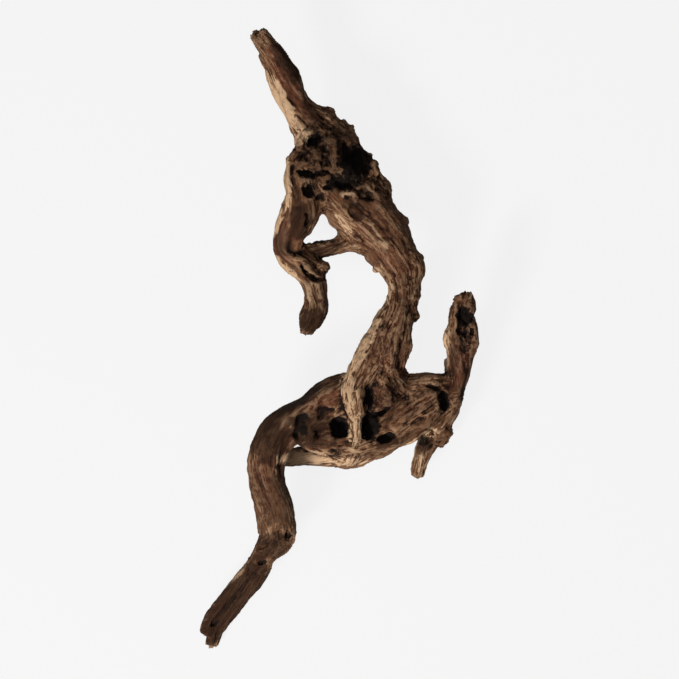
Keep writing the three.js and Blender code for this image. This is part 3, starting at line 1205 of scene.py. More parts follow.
@dataclass(frozen=True)
class Marks:
    """A kind of marking: noise with a size of its own.

    Attributes:
        across: its size across the fibres, in millimetres.
        along: its size along them.
        detail: the number of finer layers in it.
        rough: how strong the finer layers are.
    """

    across: float
    along: float
    detail: float
    rough: float

    def on(self, sheet: NodeSheet, vector: Signal) -> Signal:
        """The marking on a material, from 0 to 1.

        Args:
            sheet: the material's nodes.
            vector: the place that it is read at, in metres, with the fibres along the third axis.

        Returns:
            The marking.
        """
        size = (self.across * MM, self.across * MM, self.along * MM)
        return sheet.noise(sheet.scaled(vector, size), self.detail, self.rough)


@dataclass(frozen=True)
class WeatheredWood:
    """Dry driftwood: brown with grey and red streaks along the fibres, black furrows, tan where it is rubbed.

    The black in the furrows and hollows is dirt and painted shade, and the tan on crests and lit edges is
    partly painted highlight and painted light. The colours come first, then the markings that run along the
    fibres, and then the ones that don't.
    """

    black: Colour = (0.010, 0.007, 0.006)
    umber: Colour = (0.030, 0.0135, 0.0076)
    cocoa: Colour = (0.058, 0.025, 0.013)
    brown: Colour = (0.124, 0.053, 0.026)
    fawn: Colour = (0.265, 0.138, 0.071)
    tan: Colour = (0.600, 0.395, 0.240)
    grey: Colour = (0.150, 0.108, 0.074)
    rust: Colour = (0.125, 0.038, 0.021)
    char_and_shade: Colour = (0.009, 0.006, 0.0045)
    streaks: Marks = Marks(3.5, 55.0, 6.0, 0.65)
    broad: Marks = Marks(16.0, 70.0, 3.0, 0.5)
    hairs: Marks = Marks(1.1, 22.0, 4.0, 0.7)
    mottle: Marks = Marks(4.8, 10.5, 5.0, 0.62)
    bark: Marks = Marks(2.6, 6.0, 5.0, 0.7)
    cracks: Marks = Marks(4.2, 75.0, 3.0, 0.55)
    specks: Marks = Marks(1.9, 3.2, 4.0, 0.6)
    grain: Marks = Marks(0.9, 16.0, 5.0, 0.7)
    scales: Marks = Marks(2.2, 4.5, 5.0, 0.75)
    blotches: Marks = Marks(22.0, 22.0, 4.0, 0.6)
    lichen: Marks = Marks(7.0, 7.0, 5.0, 0.65)
    pores: Marks = Marks(1.2, 1.2, 4.0, 0.7)
    relief_depth: float = 0.0015
    roughness: float = 0.86
    worn_gloss: float = 0.15
    specular: float = 0.05

    def colour(self, sheet: NodeSheet) -> Signal:
        """The wood's colour: streaks along the fibres, then the patches, then dirt and painted shade over it
        all.

        Args:
            sheet: the material's nodes.

        Returns:
            The colour.
        """
        fibre = sheet.vector_attribute("fibre")
        streaks, broad = self.streaks.on(sheet, fibre), self.broad.on(sheet, fibre)
        mottle, bark = self.mottle.on(sheet, fibre), self.bark.on(sheet, fibre)
        hairs = self.hairs.on(sheet, fibre)
        wood = self._sound(sheet, 0.24 * streaks + 0.28 * hairs + 0.13 * broad + 0.35 * mottle, mottle)
        wood = self._patched(sheet, wood, broad, mottle, bark)
        return sheet.mixed(self._dirt_and_painted_shade(sheet, fibre, streaks, broad, bark), wood, self.black)

    def _sound(self, sheet: NodeSheet, lightness: Signal, mottle: Signal) -> Signal:
        """Brown streaks with grey lichen and rusty blotches over them."""
        stops = ((0.42, self.cocoa), (0.49, self.brown), (0.59, self.fawn))
        wood = sheet.node("ShaderNodeValToRGB", {"stops": stops}, {"Fac": lightness})
        lichen = self.lichen.on(sheet, sheet.place())
        wood = sheet.mixed(lichen.above(0.52, 0.66) * 0.55, wood, self.grey)
        blotch = self.blotches.on(sheet, sheet.place())
        rust = (sheet.attribute("red") * blotch.above(0.2, 0.6) + 0.5 * blotch.above(0.54, 0.66)).clamped()
        return sheet.mixed(rust * (0.35 + 0.9 * mottle), wood, self.rust)

    def _patched(self, sheet: NodeSheet, wood: Signal, broad: Signal, mottle: Signal, bark: Signal) -> Signal:
        """Pale wood and painted light, wear and painted highlights, darker and burned wood, and painted
        shade.
        """
        furrow, rough = sheet.attribute("furrow"), sheet.attribute("rough")
        bleached_and_lit, shaded, charred_and_painted_shade = (sheet.attribute(name) for name in ("pale", "dark", "charred_and_painted_shade"))
        # Wear and painted highlight: the fine crests of the carving are lighter.
        wear_and_painted_highlight = (0.0 - furrow).above(0.1, 0.8) * broad.above(0.3, 0.6)
        # Bleached wood, and partly painted light on lit edges.
        pale = (bleached_and_lit + 1.4 * mottle - 0.4 * furrow - 0.7).above(0.1, 0.75) * bleached_and_lit.above(0.0, 0.4)
        wood = sheet.mixed((0.9 * pale + 0.4 * wear_and_painted_highlight).clamped(), wood, self.tan)
        # Darker wood, and partly painted shade on shaded sides and upper edges.
        dark = (shaded + 0.9 * mottle - 0.45).above(0.15, 0.75) * shaded.above(0.0, 0.6)
        wood = sheet.mixed(dark * (1.0 - bleached_and_lit) * 0.9, wood, self.umber)
        # Painted highlight: the tops of rough lumps are lighter.
        painted_highlight_on_lumps = (0.0 - sheet.attribute("valley")).above(0.3, 1.0) * rough * mottle.above(0.35, 0.6)
        wood = sheet.mixed(painted_highlight_on_lumps * 0.5, wood, self.fawn)
        # Burned wood, and painted shade in hollows, creases and along the top of the cross twig.
        burnt_and_painted_shade = (charred_and_painted_shade + 1.6 * bark - 0.8).above(0.3, 0.75) * charred_and_painted_shade.above(0.0, 0.4)
        return sheet.mixed(burnt_and_painted_shade, wood, self.char_and_shade)

    def _dirt_and_painted_shade(self, sheet: NodeSheet, fibre: Signal, streaks: Signal, broad: Signal, bark: Signal) -> Signal:
        """The share of black: dirt and painted shade in furrows, valleys and pits; cracks, flecks and specks.
        """
        rough = sheet.attribute("rough")
        crack = self.cracks.on(sheet, fibre)
        lines = crack.above(0.475, 0.5) * (1.0 - crack.above(0.5, 0.525)) * broad.above(0.4, 0.6)
        flecks = bark.above(0.48, 0.42) * rough
        specks = self.specks.on(sheet, fibre).above(0.57, 0.68)
        # Dirt and painted shade in the fine furrows.
        furrow_dust_and_shade = sheet.attribute("furrow").above(0.2, 1.0) * (0.15 + 0.8 * streaks.above(0.58, 0.4))
        valley, cavity = sheet.attribute("valley"), sheet.attribute("cavity")
        # Painted shade: the deeper the wood lies in valleys and hollows, the darker it is.
        sunk = valley.above(0.2, 0.9) * 0.45 + cavity.above(0.15, 0.9) * 0.8
        dirt_and_painted_shade = ((0.55 + 0.3 * rough) * furrow_dust_and_shade + sunk) * (1.0 - 0.75 * sheet.attribute("pale"))
        return (dirt_and_painted_shade + 0.32 * lines + 0.42 * flecks + 0.45 * specks).clamped()

    def material(self) -> bpy.types.Material:
        """The finish, with fine grain as a bump."""
        sheet = NodeSheet("weathered wood")
        fibre = sheet.vector_attribute("fibre")
        relief = 0.8 * self.grain.on(sheet, fibre) + 0.5 * self.pores.on(sheet, sheet.place())
        relief = relief + (0.5 + 1.1 * sheet.attribute("rough")) * self.scales.on(sheet, fibre)
        settings = {"Strength": 1.0, "Distance": self.relief_depth, "Height": relief}
        finish = {
            "Base Color": self.colour(sheet),
            "Roughness": self.roughness - sheet.attribute("smooth") * self.worn_gloss,
            "Normal": sheet.node("ShaderNodeBump", {}, settings, "Normal"),
            "Specular IOR Level": self.specular,
        }
        return sheet.surface(sheet.node("ShaderNodeBsdfPrincipled", {}, finish))


def sliver(name: str, gnarl: float, *stations: Station, relief: float = 0.1, twist: float = 0.01) -> Limb:
    """A small limb that shows two cords: a splinter, a shard or the shape of a groove.

    Args:
        name: what it is.
        gnarl: height of its uneven surface, as a share of the half-width.
        stations: rows as a limb's.
        relief: depth of its furrows, as a share of the half-width.
        twist: radians that its cords turn in a millimetre.

    Returns:
        The limb.
    """
    return Limb(name, 2, twist, relief, gnarl, stations)


LIMBS: tuple[Limb, ...] = (
    Limb("horn", cords=4, twist=0.012, relief=0.12, gnarl=0.08, torn=7, stations=(
        (328, 158, 58, 20, 26), (315, 140, 62, 18, 22), (304.5, 122, 66, 15, 19),
        (296.5, 108, 68, 14, 17), (289.5, 95, 70, 14.5, 16), (284, 81, 73, 15.5, 15),
        (278.5, 67, 76, 13.5, 14), (272.5, 56, 79, 12, 13), (266, 46, 82, 10.5, 11),
        (257, 34, 84, 10, 9),
    )),
    Limb("trunk", cords=6, twist=0.006, relief=0.11, gnarl=0.13, stations=(
        (318, 142, 56, 16, 20), (332, 162, 55, 28, 30), (346, 184, 55, 32, 32), (361, 206, 58, 31, 30),
        (376, 228, 62, 28, 28), (390, 249, 68, 23.5, 26), (400, 269, 74, 19, 23),
        (403.5, 287, 78, 15.5, 19), (402.5, 303, 80, 15, 18), (396, 320, 82, 17, 19),
        (388.5, 338, 80, 21.5, 21), (384, 356, 76, 19.5, 23), (382, 374, 70, 20, 21),
        (387, 389, 66, 21.5, 18), (395, 401, 61, 20, 16), (409, 409, 56, 16, 15),
    )),
    Limb("spine", cords=3, twist=0.01, relief=0.16, gnarl=0.16, stations=(
        (290, 88, 64, 5, 7), (305, 110, 62, 11, 13), (322, 124, 60, 14, 16), (338, 139, 60, 14, 18),
        (350, 157, 62, 14, 18), (359, 175, 64, 14, 18), (369, 193, 66, 14, 17), (381, 212, 68, 14, 17),
        (392, 230, 70, 15.5, 17), (399.5, 250, 74, 14.5, 17), (410.5, 268, 78, 14.5, 16),
        (409.5, 284, 80, 11.5, 15), (408, 300, 80, 11, 14), (404, 315, 80, 10, 13),
        (398.5, 327, 78, 7, 13), (401.5, 343, 74, 10.5, 13), (393, 360, 66, 6, 9),
    )),
    Limb("arm", cords=5, twist=0.014, relief=0.12, gnarl=0.12, torn=8, stations=(
        (316, 158, 60, 20, 20), (301.5, 175, 68, 17, 19), (302, 193, 72, 16, 18), (302, 210, 72, 17, 18),
        (297, 222, 70, 18, 18), (290, 235, 66, 16.5, 17), (287.5, 247, 60, 14, 16),
        (294, 257, 56, 14.5, 16), (304, 267, 58, 15, 16), (312.5, 281, 66, 12.5, 14),
        (315.5, 295, 74, 11, 12), (316, 308, 80, 12, 12), (311, 320, 84, 11.5, 11), (304, 333, 86, 6, 7),
    )),
    Limb("crosstwig", cords=3, twist=0.02, relief=0.12, gnarl=0.08, stations=(
        (296, 255, 54, 8, 8), (311, 251, 55, 8.5, 9), (325, 248.5, 57, 9, 9), (338, 246.5, 59, 9, 9),
        (352, 244, 62, 9, 11), (368, 247, 66, 10, 14),
    )),
    Limb("slanttwig", cords=2, twist=0.03, relief=0.12, gnarl=0.08, stations=(
        (316, 188, 66, 7, 9), (325.5, 206, 66, 7, 9), (335.5, 218, 65, 6.5, 8), (345, 229, 66, 6.5, 8),
        (354, 243, 67, 6, 8), (362, 254, 66, 4, 6),
    )),
    Limb("shank", cords=3, twist=0.008, relief=0.14, gnarl=0.1, stations=(
        (398, 292, 78, 5, 6), (388, 314, 84, 10, 11), (381, 331, 85, 12, 13), (373, 349, 86, 13.5, 16),
        (363, 368, 87, 14, 18), (354, 385, 88, 12, 17), (353.5, 402, 86, 10, 15),
        (356.5, 418, 79, 8.5, 14), (356.5, 432, 71, 8.5, 13), (353, 446, 60, 11, 12),
        (347, 457, 48, 12.5, 11), (337, 461, 41, 9, 9),
    )),
    Limb("belly", cords=7, twist=0.006, relief=0.09, gnarl=0.14, stations=(
        (290, 429, 60, 12, 17), (312, 427, 58, 24, 22), (342, 426, 56, 31, 26), (374, 419, 53, 33, 29),
        (404, 408, 52, 31, 28), (430, 399, 50, 26, 26), (452, 395, 48, 17, 21),
    )),
    Limb("rail", cords=3, twist=0.02, relief=0.12, gnarl=0.1, stations=(
        (263, 462, 31, 7, 8), (280, 459.5, 32, 8.5, 9), (300, 457, 34, 9, 10), (320, 458, 36, 9, 11),
        (340, 457, 40, 10.5, 13), (357, 456, 42, 11.5, 14), (374, 446, 46, 11, 15),
    )),
    Limb("keel", cords=3, twist=0.014, relief=0.14, gnarl=0.13, stations=(
        (362, 458, 42, 8, 11), (383.5, 446, 46, 9.5, 13), (400.5, 435.5, 48, 9, 13),
        (417, 426, 50, 9, 13), (434, 417, 52, 9, 12), (448, 404, 54, 9, 12),
    )),
    Limb("slab", cords=2, twist=0.002, relief=0.08, gnarl=0.1, stations=(
        (384, 388, 62, 8, 9), (404, 388, 68, 13, 9), (424, 387, 68, 15, 8), (440, 386, 61, 13, 8),
        (458, 388, 52, 9, 8),
    )),
    Limb("raisedarm", cords=4, twist=0.012, relief=0.13, gnarl=0.16, torn=6, stations=(
        (436, 427, 42, 12, 14), (449, 409, 46, 12.5, 17), (454.5, 390, 50, 10.5, 16),
        (458, 372, 56, 11.5, 15), (460, 355, 63, 13, 15), (461, 340, 70, 17.3, 16),
        (461, 326, 76, 15.5, 16), (460, 313, 82, 12.5, 14), (463.5, 304, 86, 10, 12),
        (467, 294, 89, 7, 8),
    )),
    Limb("peg", cords=2, twist=0.01, relief=0.1, gnarl=0.1, torn=3, stations=(
        (455, 380, 42, 7, 7), (448, 367, 43, 5, 6), (447, 357, 44, 3.5, 5),
    )),
    Limb("stub", cords=4, twist=0.01, relief=0.12, gnarl=0.1, torn=4, stations=(
        (443, 423, 38, 12, 12), (433, 437, 33, 10.5, 12), (427, 448, 30, 9.5, 10),
        (422.5, 460, 27, 8, 9), (419.5, 471, 24, 7.5, 8), (418, 480, 23, 6.5, 7),
    )),
    Limb("leg", cords=4, twist=0.007, relief=0.07, gnarl=0.08, stations=(
        (358, 387, 62, 18, 18), (334, 397, 70, 20, 22), (311, 411.5, 74, 18.5, 21),
        (291.5, 423, 78, 19, 20), (277, 437, 82, 19, 19), (268, 455, 83, 18.5, 18),
        (266.5, 471, 82, 17.5, 18), (270, 489, 77, 18, 18), (274.5, 505, 70, 19, 18),
        (276.5, 520, 62, 19.5, 18), (277, 535, 55, 19.5, 18), (268, 549, 48, 14.5, 17),
        (260, 561, 42, 12, 15), (253, 572, 38, 10, 13),
    )),
    Limb("shinouter", cords=3, twist=0.01, relief=0.12, gnarl=0.08, torn=9, stations=(
        (264, 552, 46, 8, 12), (253.5, 566, 40, 8.5, 11), (242.5, 580, 36, 8.5, 11),
        (230.5, 595, 31, 8.5, 10.5), (219, 610, 26, 8.5, 10), (209, 623, 22, 8, 10),
        (202.5, 639, 19, 6.5, 8),
    )),
    Limb("shininner", cords=3, twist=0.01, relief=0.12, gnarl=0.08, torn=9, stations=(
        (268, 550, 44, 8, 12), (261.5, 567, 39, 10, 12), (253, 582, 34, 10, 12), (242, 596, 29, 9.5, 11),
        (231.5, 610, 24, 8.5, 10.5), (221, 624, 17, 8, 10.5), (213, 637, 12, 7.5, 11.5),
        (209, 651, 10, 6.5, 10.5),
    )),
    Limb("plate", cords=2, twist=0.004, relief=0.1, gnarl=0.12, stations=(
        (380, 430, 58, 8, 9), (397, 420, 67, 10, 10), (416, 410, 71, 11, 9), (434, 402, 68, 9, 8),
        (446, 394, 60, 7, 8),
    )),
)

BURLS: tuple[Burl, ...] = (
    Burl("brow", (309, 160, 69), (21, 13, 16), -4),
    Burl("crown", (337, 145, 66), (23, 15, 19), -42),
    Burl("bridge", (335, 166, 70), (7, 14, 18), 8),
    Burl("cheek", (323, 193, 68), (11, 14, 18), 10),
    Burl("underhead", (336, 176, 30), (27, 23, 32.5), -40),
    Burl("underjaw", (356, 200, 38), (24, 15, 22), -50),
    Burl("elbowknob", (319.5, 269, 62), (9, 8.5, 9), 10),
    Burl("knee", (284.5, 537, 52), (12, 12, 15), 20),
    Burl("hipknob", (441, 437, 20), (11, 12, 21), -20),
    Burl("flank", (371, 361, 78), (31, 10.5, 23), 68),
    Burl("hipflare", (322, 417, 58), (27, 17, 29), 26),
)

HOLLOWS: tuple[Hollow, ...] = (
    Hollow("eye", (315, 142), (11, 7, 12), 30),
    Hollow("browcrease", (317, 175), (20, 5, 13), 0),
    Hollow("headpit", (354, 160), (16, 12, 20), -40),
    Hollow("sidepit", (343, 184), (16, 8, 17), -6),
    Hollow("armpit", (309, 192), (7, 8, 11), 10),
    Hollow("neckpit", (365, 196), (11, 6, 10), -20),
    Hollow("neckdimple", (357, 213), (8, 11, 11), 12),
    Hollow("ribhole", (339.5, 427.5), (8.6, 10.5, 24), 10),
    Hollow("flankhollow", (304, 428), (9, 15, 16), -15),
    Hollow("shankvalley", (369, 401), (6, 15, 22), 0),
    Hollow("shankslot", (368, 428), (6.5, 16, 26), -4),
    Hollow("keelslot", (385, 437), (10, 5, 14), 22),
    Hollow("slabnotch", (444, 401), (5.5, 13, 18), 22),
    Hollow("slabdimple", (418, 421), (13, 3.5, 9), 30),
    Hollow("railhole", (334.5, 454), (7.5, 5.5, 9), 5),
    Hollow("kneehole", (288, 534), (4, 5.5, 9), -10),
    Hollow("underpit", (352, 196), (12, 8, 10), 40, side=-1),
    Hollow("underhollow", (372, 418), (17, 11, 14), 15, side=-1),
    Hollow("bellydip", (326, 414), (12, 9, 8), 25),
    Hollow("armgroove", (463, 328), (4.5, 21, 9), 8),
)

SPLINTERS: tuple[Limb, ...] = (
    sliver("horn_sliver", 0.1,
           (260, 57, 78, 2.5, 3), (263, 63, 77, 2.6, 3), (267, 69, 76, 2.2, 3), (271, 75, 75, 1.8, 2)),
    sliver("horn_corner", 0.1, (259, 33, 84, 4, 5), (255, 37, 83, 3.4, 4), (251, 41.5, 82, 2, 2.5)),
    sliver("twig_nub", 0.2, (343, 240, 63, 4, 5), (340, 236, 64, 3, 3.6), (338, 233, 65, 1.8, 2)),
    sliver("trunk_nub", 0.2, (381, 264, 68, 6, 7), (376, 269, 67, 4.5, 5), (372, 273.5, 66, 2.5, 3)),
    sliver("foot_corner", 0.2, (307, 318, 84, 6, 7), (304, 327, 84, 4.5, 5), (302, 334.5, 84, 2.5, 3)),
    sliver("horn_ridge", 0.3,
           (265, 38, 88, 3.5, 5), (273, 50, 89, 4.5, 6), (281, 63, 88, 5.5, 6), (289, 76, 86, 6, 6),
           (296, 89, 83, 6, 7), (301, 103, 78, 6, 7), relief=0.12),
    sliver("horn_strand", 0.25,
           (281, 88, 82, 4, 6), (286, 103, 82, 5, 6), (293, 118, 80, 6, 7), (303, 134, 76, 6, 8),
           relief=0.12),
    sliver("arm_ridge", 0.15,
           (290, 158, 76, 4, 8), (288, 176, 80, 3.5, 7), (289, 194, 82, 3.5, 6), (284, 214, 78, 4, 7),
           (277, 232, 68, 4, 8)),
    sliver("arm_tip_knob", 0.2, (463, 303, 88, 5, 5), (467, 297, 90, 5.5, 5), (471, 294.5, 91, 3, 3.5)),
)

BUMPS: tuple[Burl, ...] = (
    Burl("trunk_bulge", (384, 383, 66), (30, 18, 28), -80),
    Burl("bulge_shoulder", (396, 372, 62), (18, 9, 24), -75),
    Burl("knee_lip", (272, 546, 54), (19, 8, 15), 18),
    Burl("foot_flare", (318, 311, 84), (13, 9, 11), 60),
    Burl("stub_root", (436, 436, 34), (13, 11, 15), -20),
    Burl("brow_roll", (306, 166, 82), (16, 5, 9), -8),
    Burl("post", (335, 158, 86), (6, 17, 9), 8),
    Burl("trunk_fill", (377, 358, 84), (27, 11, 18), 66),
    Burl("elbow_lobe", (321, 268, 66), (9, 7, 9), 20),
    Burl("neck_bump", (329, 111, 61), (6, 4.5, 7), -40),
    Burl("crown_bump", (343, 124, 62), (6, 4.5, 8), -40),
    Burl("crown_knob", (351, 129, 63), (4.5, 4.5, 7), 0),
    Burl("jaw_bump", (368, 157, 63), (5, 5, 8), -60),
    Burl("bark_bump", (380, 179, 64), (6, 4, 8), -60),
    Burl("bark_ridge", (388, 191, 66), (8, 4, 8), -62),
    Burl("shoulder_bump", (405, 222, 68), (7, 5, 8), -70),
    Burl("side_bump", (418, 258, 74), (8, 5, 8), -60),
    Burl("hip_bump", (407, 341, 74), (8, 5, 9), 80),
    Burl("hook_bump", (415, 316, 76), (6, 5, 8), 70),
    Burl("brow_lump", (297, 157, 76), (8, 6, 9), 20),
    Burl("brow_knob", (318, 155, 80), (7, 6, 8), -20),
    Burl("jaw_knob", (347, 197, 80), (6.5, 4.5, 7), 10),
    Burl("cheek_lobe", (375, 168, 74), (9, 4.5, 8), -70),
    Burl("shank_knot", (350, 437, 74), (6, 5, 7), 20),
    Burl("rail_lump", (345, 447, 62), (9, 6, 8), 10),
    Burl("arm_knob", (457, 300, 88), (6, 5, 8), 60),
    Burl("arm_knuckle", (470, 311, 88), (5, 5, 8), 0),
    Burl("arm_node", (465, 341, 82), (5.5, 6.5, 6), 0),
    Burl("shank_side", (359, 396, 88), (22, 8, 16), -82),
    Burl("shank_lobe", (352, 410, 88), (12, 6, 9), -70),
    Burl("hip_collar", (443, 431, 46), (11, 9, 13), -30),
    Burl("foot_edge", (305, 322, 84), (6, 12, 8), 10),
)

PITS: tuple[Hollow, ...] = (
    Hollow("pit_edge", (364, 171), (8, 6, 12), 60),
    Hollow("pit_end", (345, 152), (7, 6, 10), 20),
    Hollow("post_pit", (332, 186), (8, 6, 12), 20),
    Hollow("post_slot", (327, 153), (2.4, 9, 7), 10),
    Hollow("cheek_pit", (322, 199), (6, 4, 6), 0),
    Hollow("bark_slot", (378, 190), (9, 3, 7), -62),
    Hollow("crown_slot", (333, 128), (10, 3, 6), -42),
    Hollow("elbow_crease", (319, 279.5), (11, 2.2, 6), 0),
    Hollow("flank_pit", (323, 409), (4, 5, 4), 0),
    Hollow("knot_hole", (356, 433), (3.5, 2.6, 4), 10),
    Hollow("rail_slot", (312, 450), (12, 2.6, 6), -12),
    Hollow("arm_pit", (463, 316), (6, 8, 10), 20),
    Hollow("arm_dent", (459, 330), (3.5, 6, 7), 10),
    Hollow("arm_slot", (471, 334), (3, 7, 7), 0),
    Hollow("arm_nick", (465, 350), (4, 5, 7), 30),
    Hollow("arm_chip", (458, 305), (3, 4, 5), 0),
    Hollow("knob_hole", (347, 199), (2.4, 2, 4), 0),
    Hollow("stub_pit", (428, 441), (6, 5, 7), 0),
    Hollow("horn_pin", (288, 113), (2, 2.6, 4), 0),
)

GOUGES: tuple[Limb, ...] = (
    sliver("shin_groove", 0.3,
           (260, 568, 53, 1.2, 4), (250, 580, 49, 1.6, 4), (236, 597, 42, 1.9, 5),
           (222, 614, 35, 2.4, 6), (211, 629, 28, 2.2, 6), twist=0.02),
    sliver("knee_crease", 0.3,
           (244, 563, 48, 1.2, 4), (256, 564, 54, 1.5, 4), (269, 560, 58, 1.5, 4),
           (284, 552, 57, 1.4, 5), twist=0.02),
    sliver("hip_seam", 0.4,
           (403, 424, 76, 1.6, 3), (413, 419, 80, 1.8, 3), (427, 411, 80, 3.2, 5),
           (437, 398, 76, 2, 4.5), (440, 387, 72, 1.2, 4), twist=0.02),
    sliver("plank_edge", 0.4,
           (400, 388, 80, 1.4, 5), (410, 384, 80, 1.6, 5), (424, 384, 78, 1.3, 5),
           (438, 389, 72, 1.6, 5), twist=0.02),
    sliver("bulge_lip", 0.4,
           (364, 413, 80, 2.4, 9), (374, 414, 80, 3, 10), (383, 410, 82, 2.4, 8), (390, 404, 82, 1.2, 4),
           twist=0.02),
    sliver("horn_groove", 0.4,
           (262, 48, 91, 0.9, 3), (271, 62, 93, 1.2, 3), (279, 78, 92, 1.3, 4), (289, 96, 91, 1.3, 4),
           (298, 112, 88, 1.2, 4), twist=0.02),
    sliver("arm_fold", 0.4,
           (303, 206, 90, 1.2, 4), (307, 218, 89, 1.8, 6), (304, 228, 86, 1.4, 5), twist=0.02),
    sliver("elbow_fold", 0.4,
           (294, 253, 70, 1.2, 4), (301, 265, 71, 1.5, 5), (308, 275, 77, 1.6, 6),
           (319, 280, 80, 1.8, 7), (330, 279, 78, 1.6, 7), twist=0.02),
)

SHARDS: tuple[Limb, ...] = (
    sliver("eye_rim", 0.2,
           (300, 152, 82, 2.5, 5), (301, 143, 86, 3.4, 6), (306, 136, 87, 3.6, 6), (315, 133, 84, 3, 6),
           relief=0.12),
    sliver("knob_rim", 0.3,
           (341, 198, 80, 3, 6), (346, 194, 84, 3.4, 6), (353, 195, 84, 3.2, 6), (356, 201, 80, 2.6, 6),
           relief=0.12),
    sliver("pit_shard", 0.25,
           (349, 161, 64, 2, 6), (356, 166, 73, 1.8, 6), (361, 173, 75, 2, 6), (363, 182, 72, 2.6, 7),
           relief=0.15),
    sliver("pit_splinter", 0.25,
           (340, 166, 62, 3, 7), (349, 160, 65, 2, 6), (356, 151, 66, 2.6, 6), relief=0.15),
    sliver("dimple_floor", 0.4,
           (347, 201, 73, 13, 8), (357, 213, 75, 14, 8), (367, 225, 75, 13, 8), relief=0.2),
    sliver("flank_floor", 0.4,
           (300, 413, 77, 12, 10), (304, 428, 80, 13, 10), (308, 443, 75, 11, 10), relief=0.2),
    sliver("jaw_shard", 0.25,
           (330, 181, 58, 3, 6), (342, 184, 60, 2.2, 5), (354, 188, 62, 2.6, 6), relief=0.15),
)

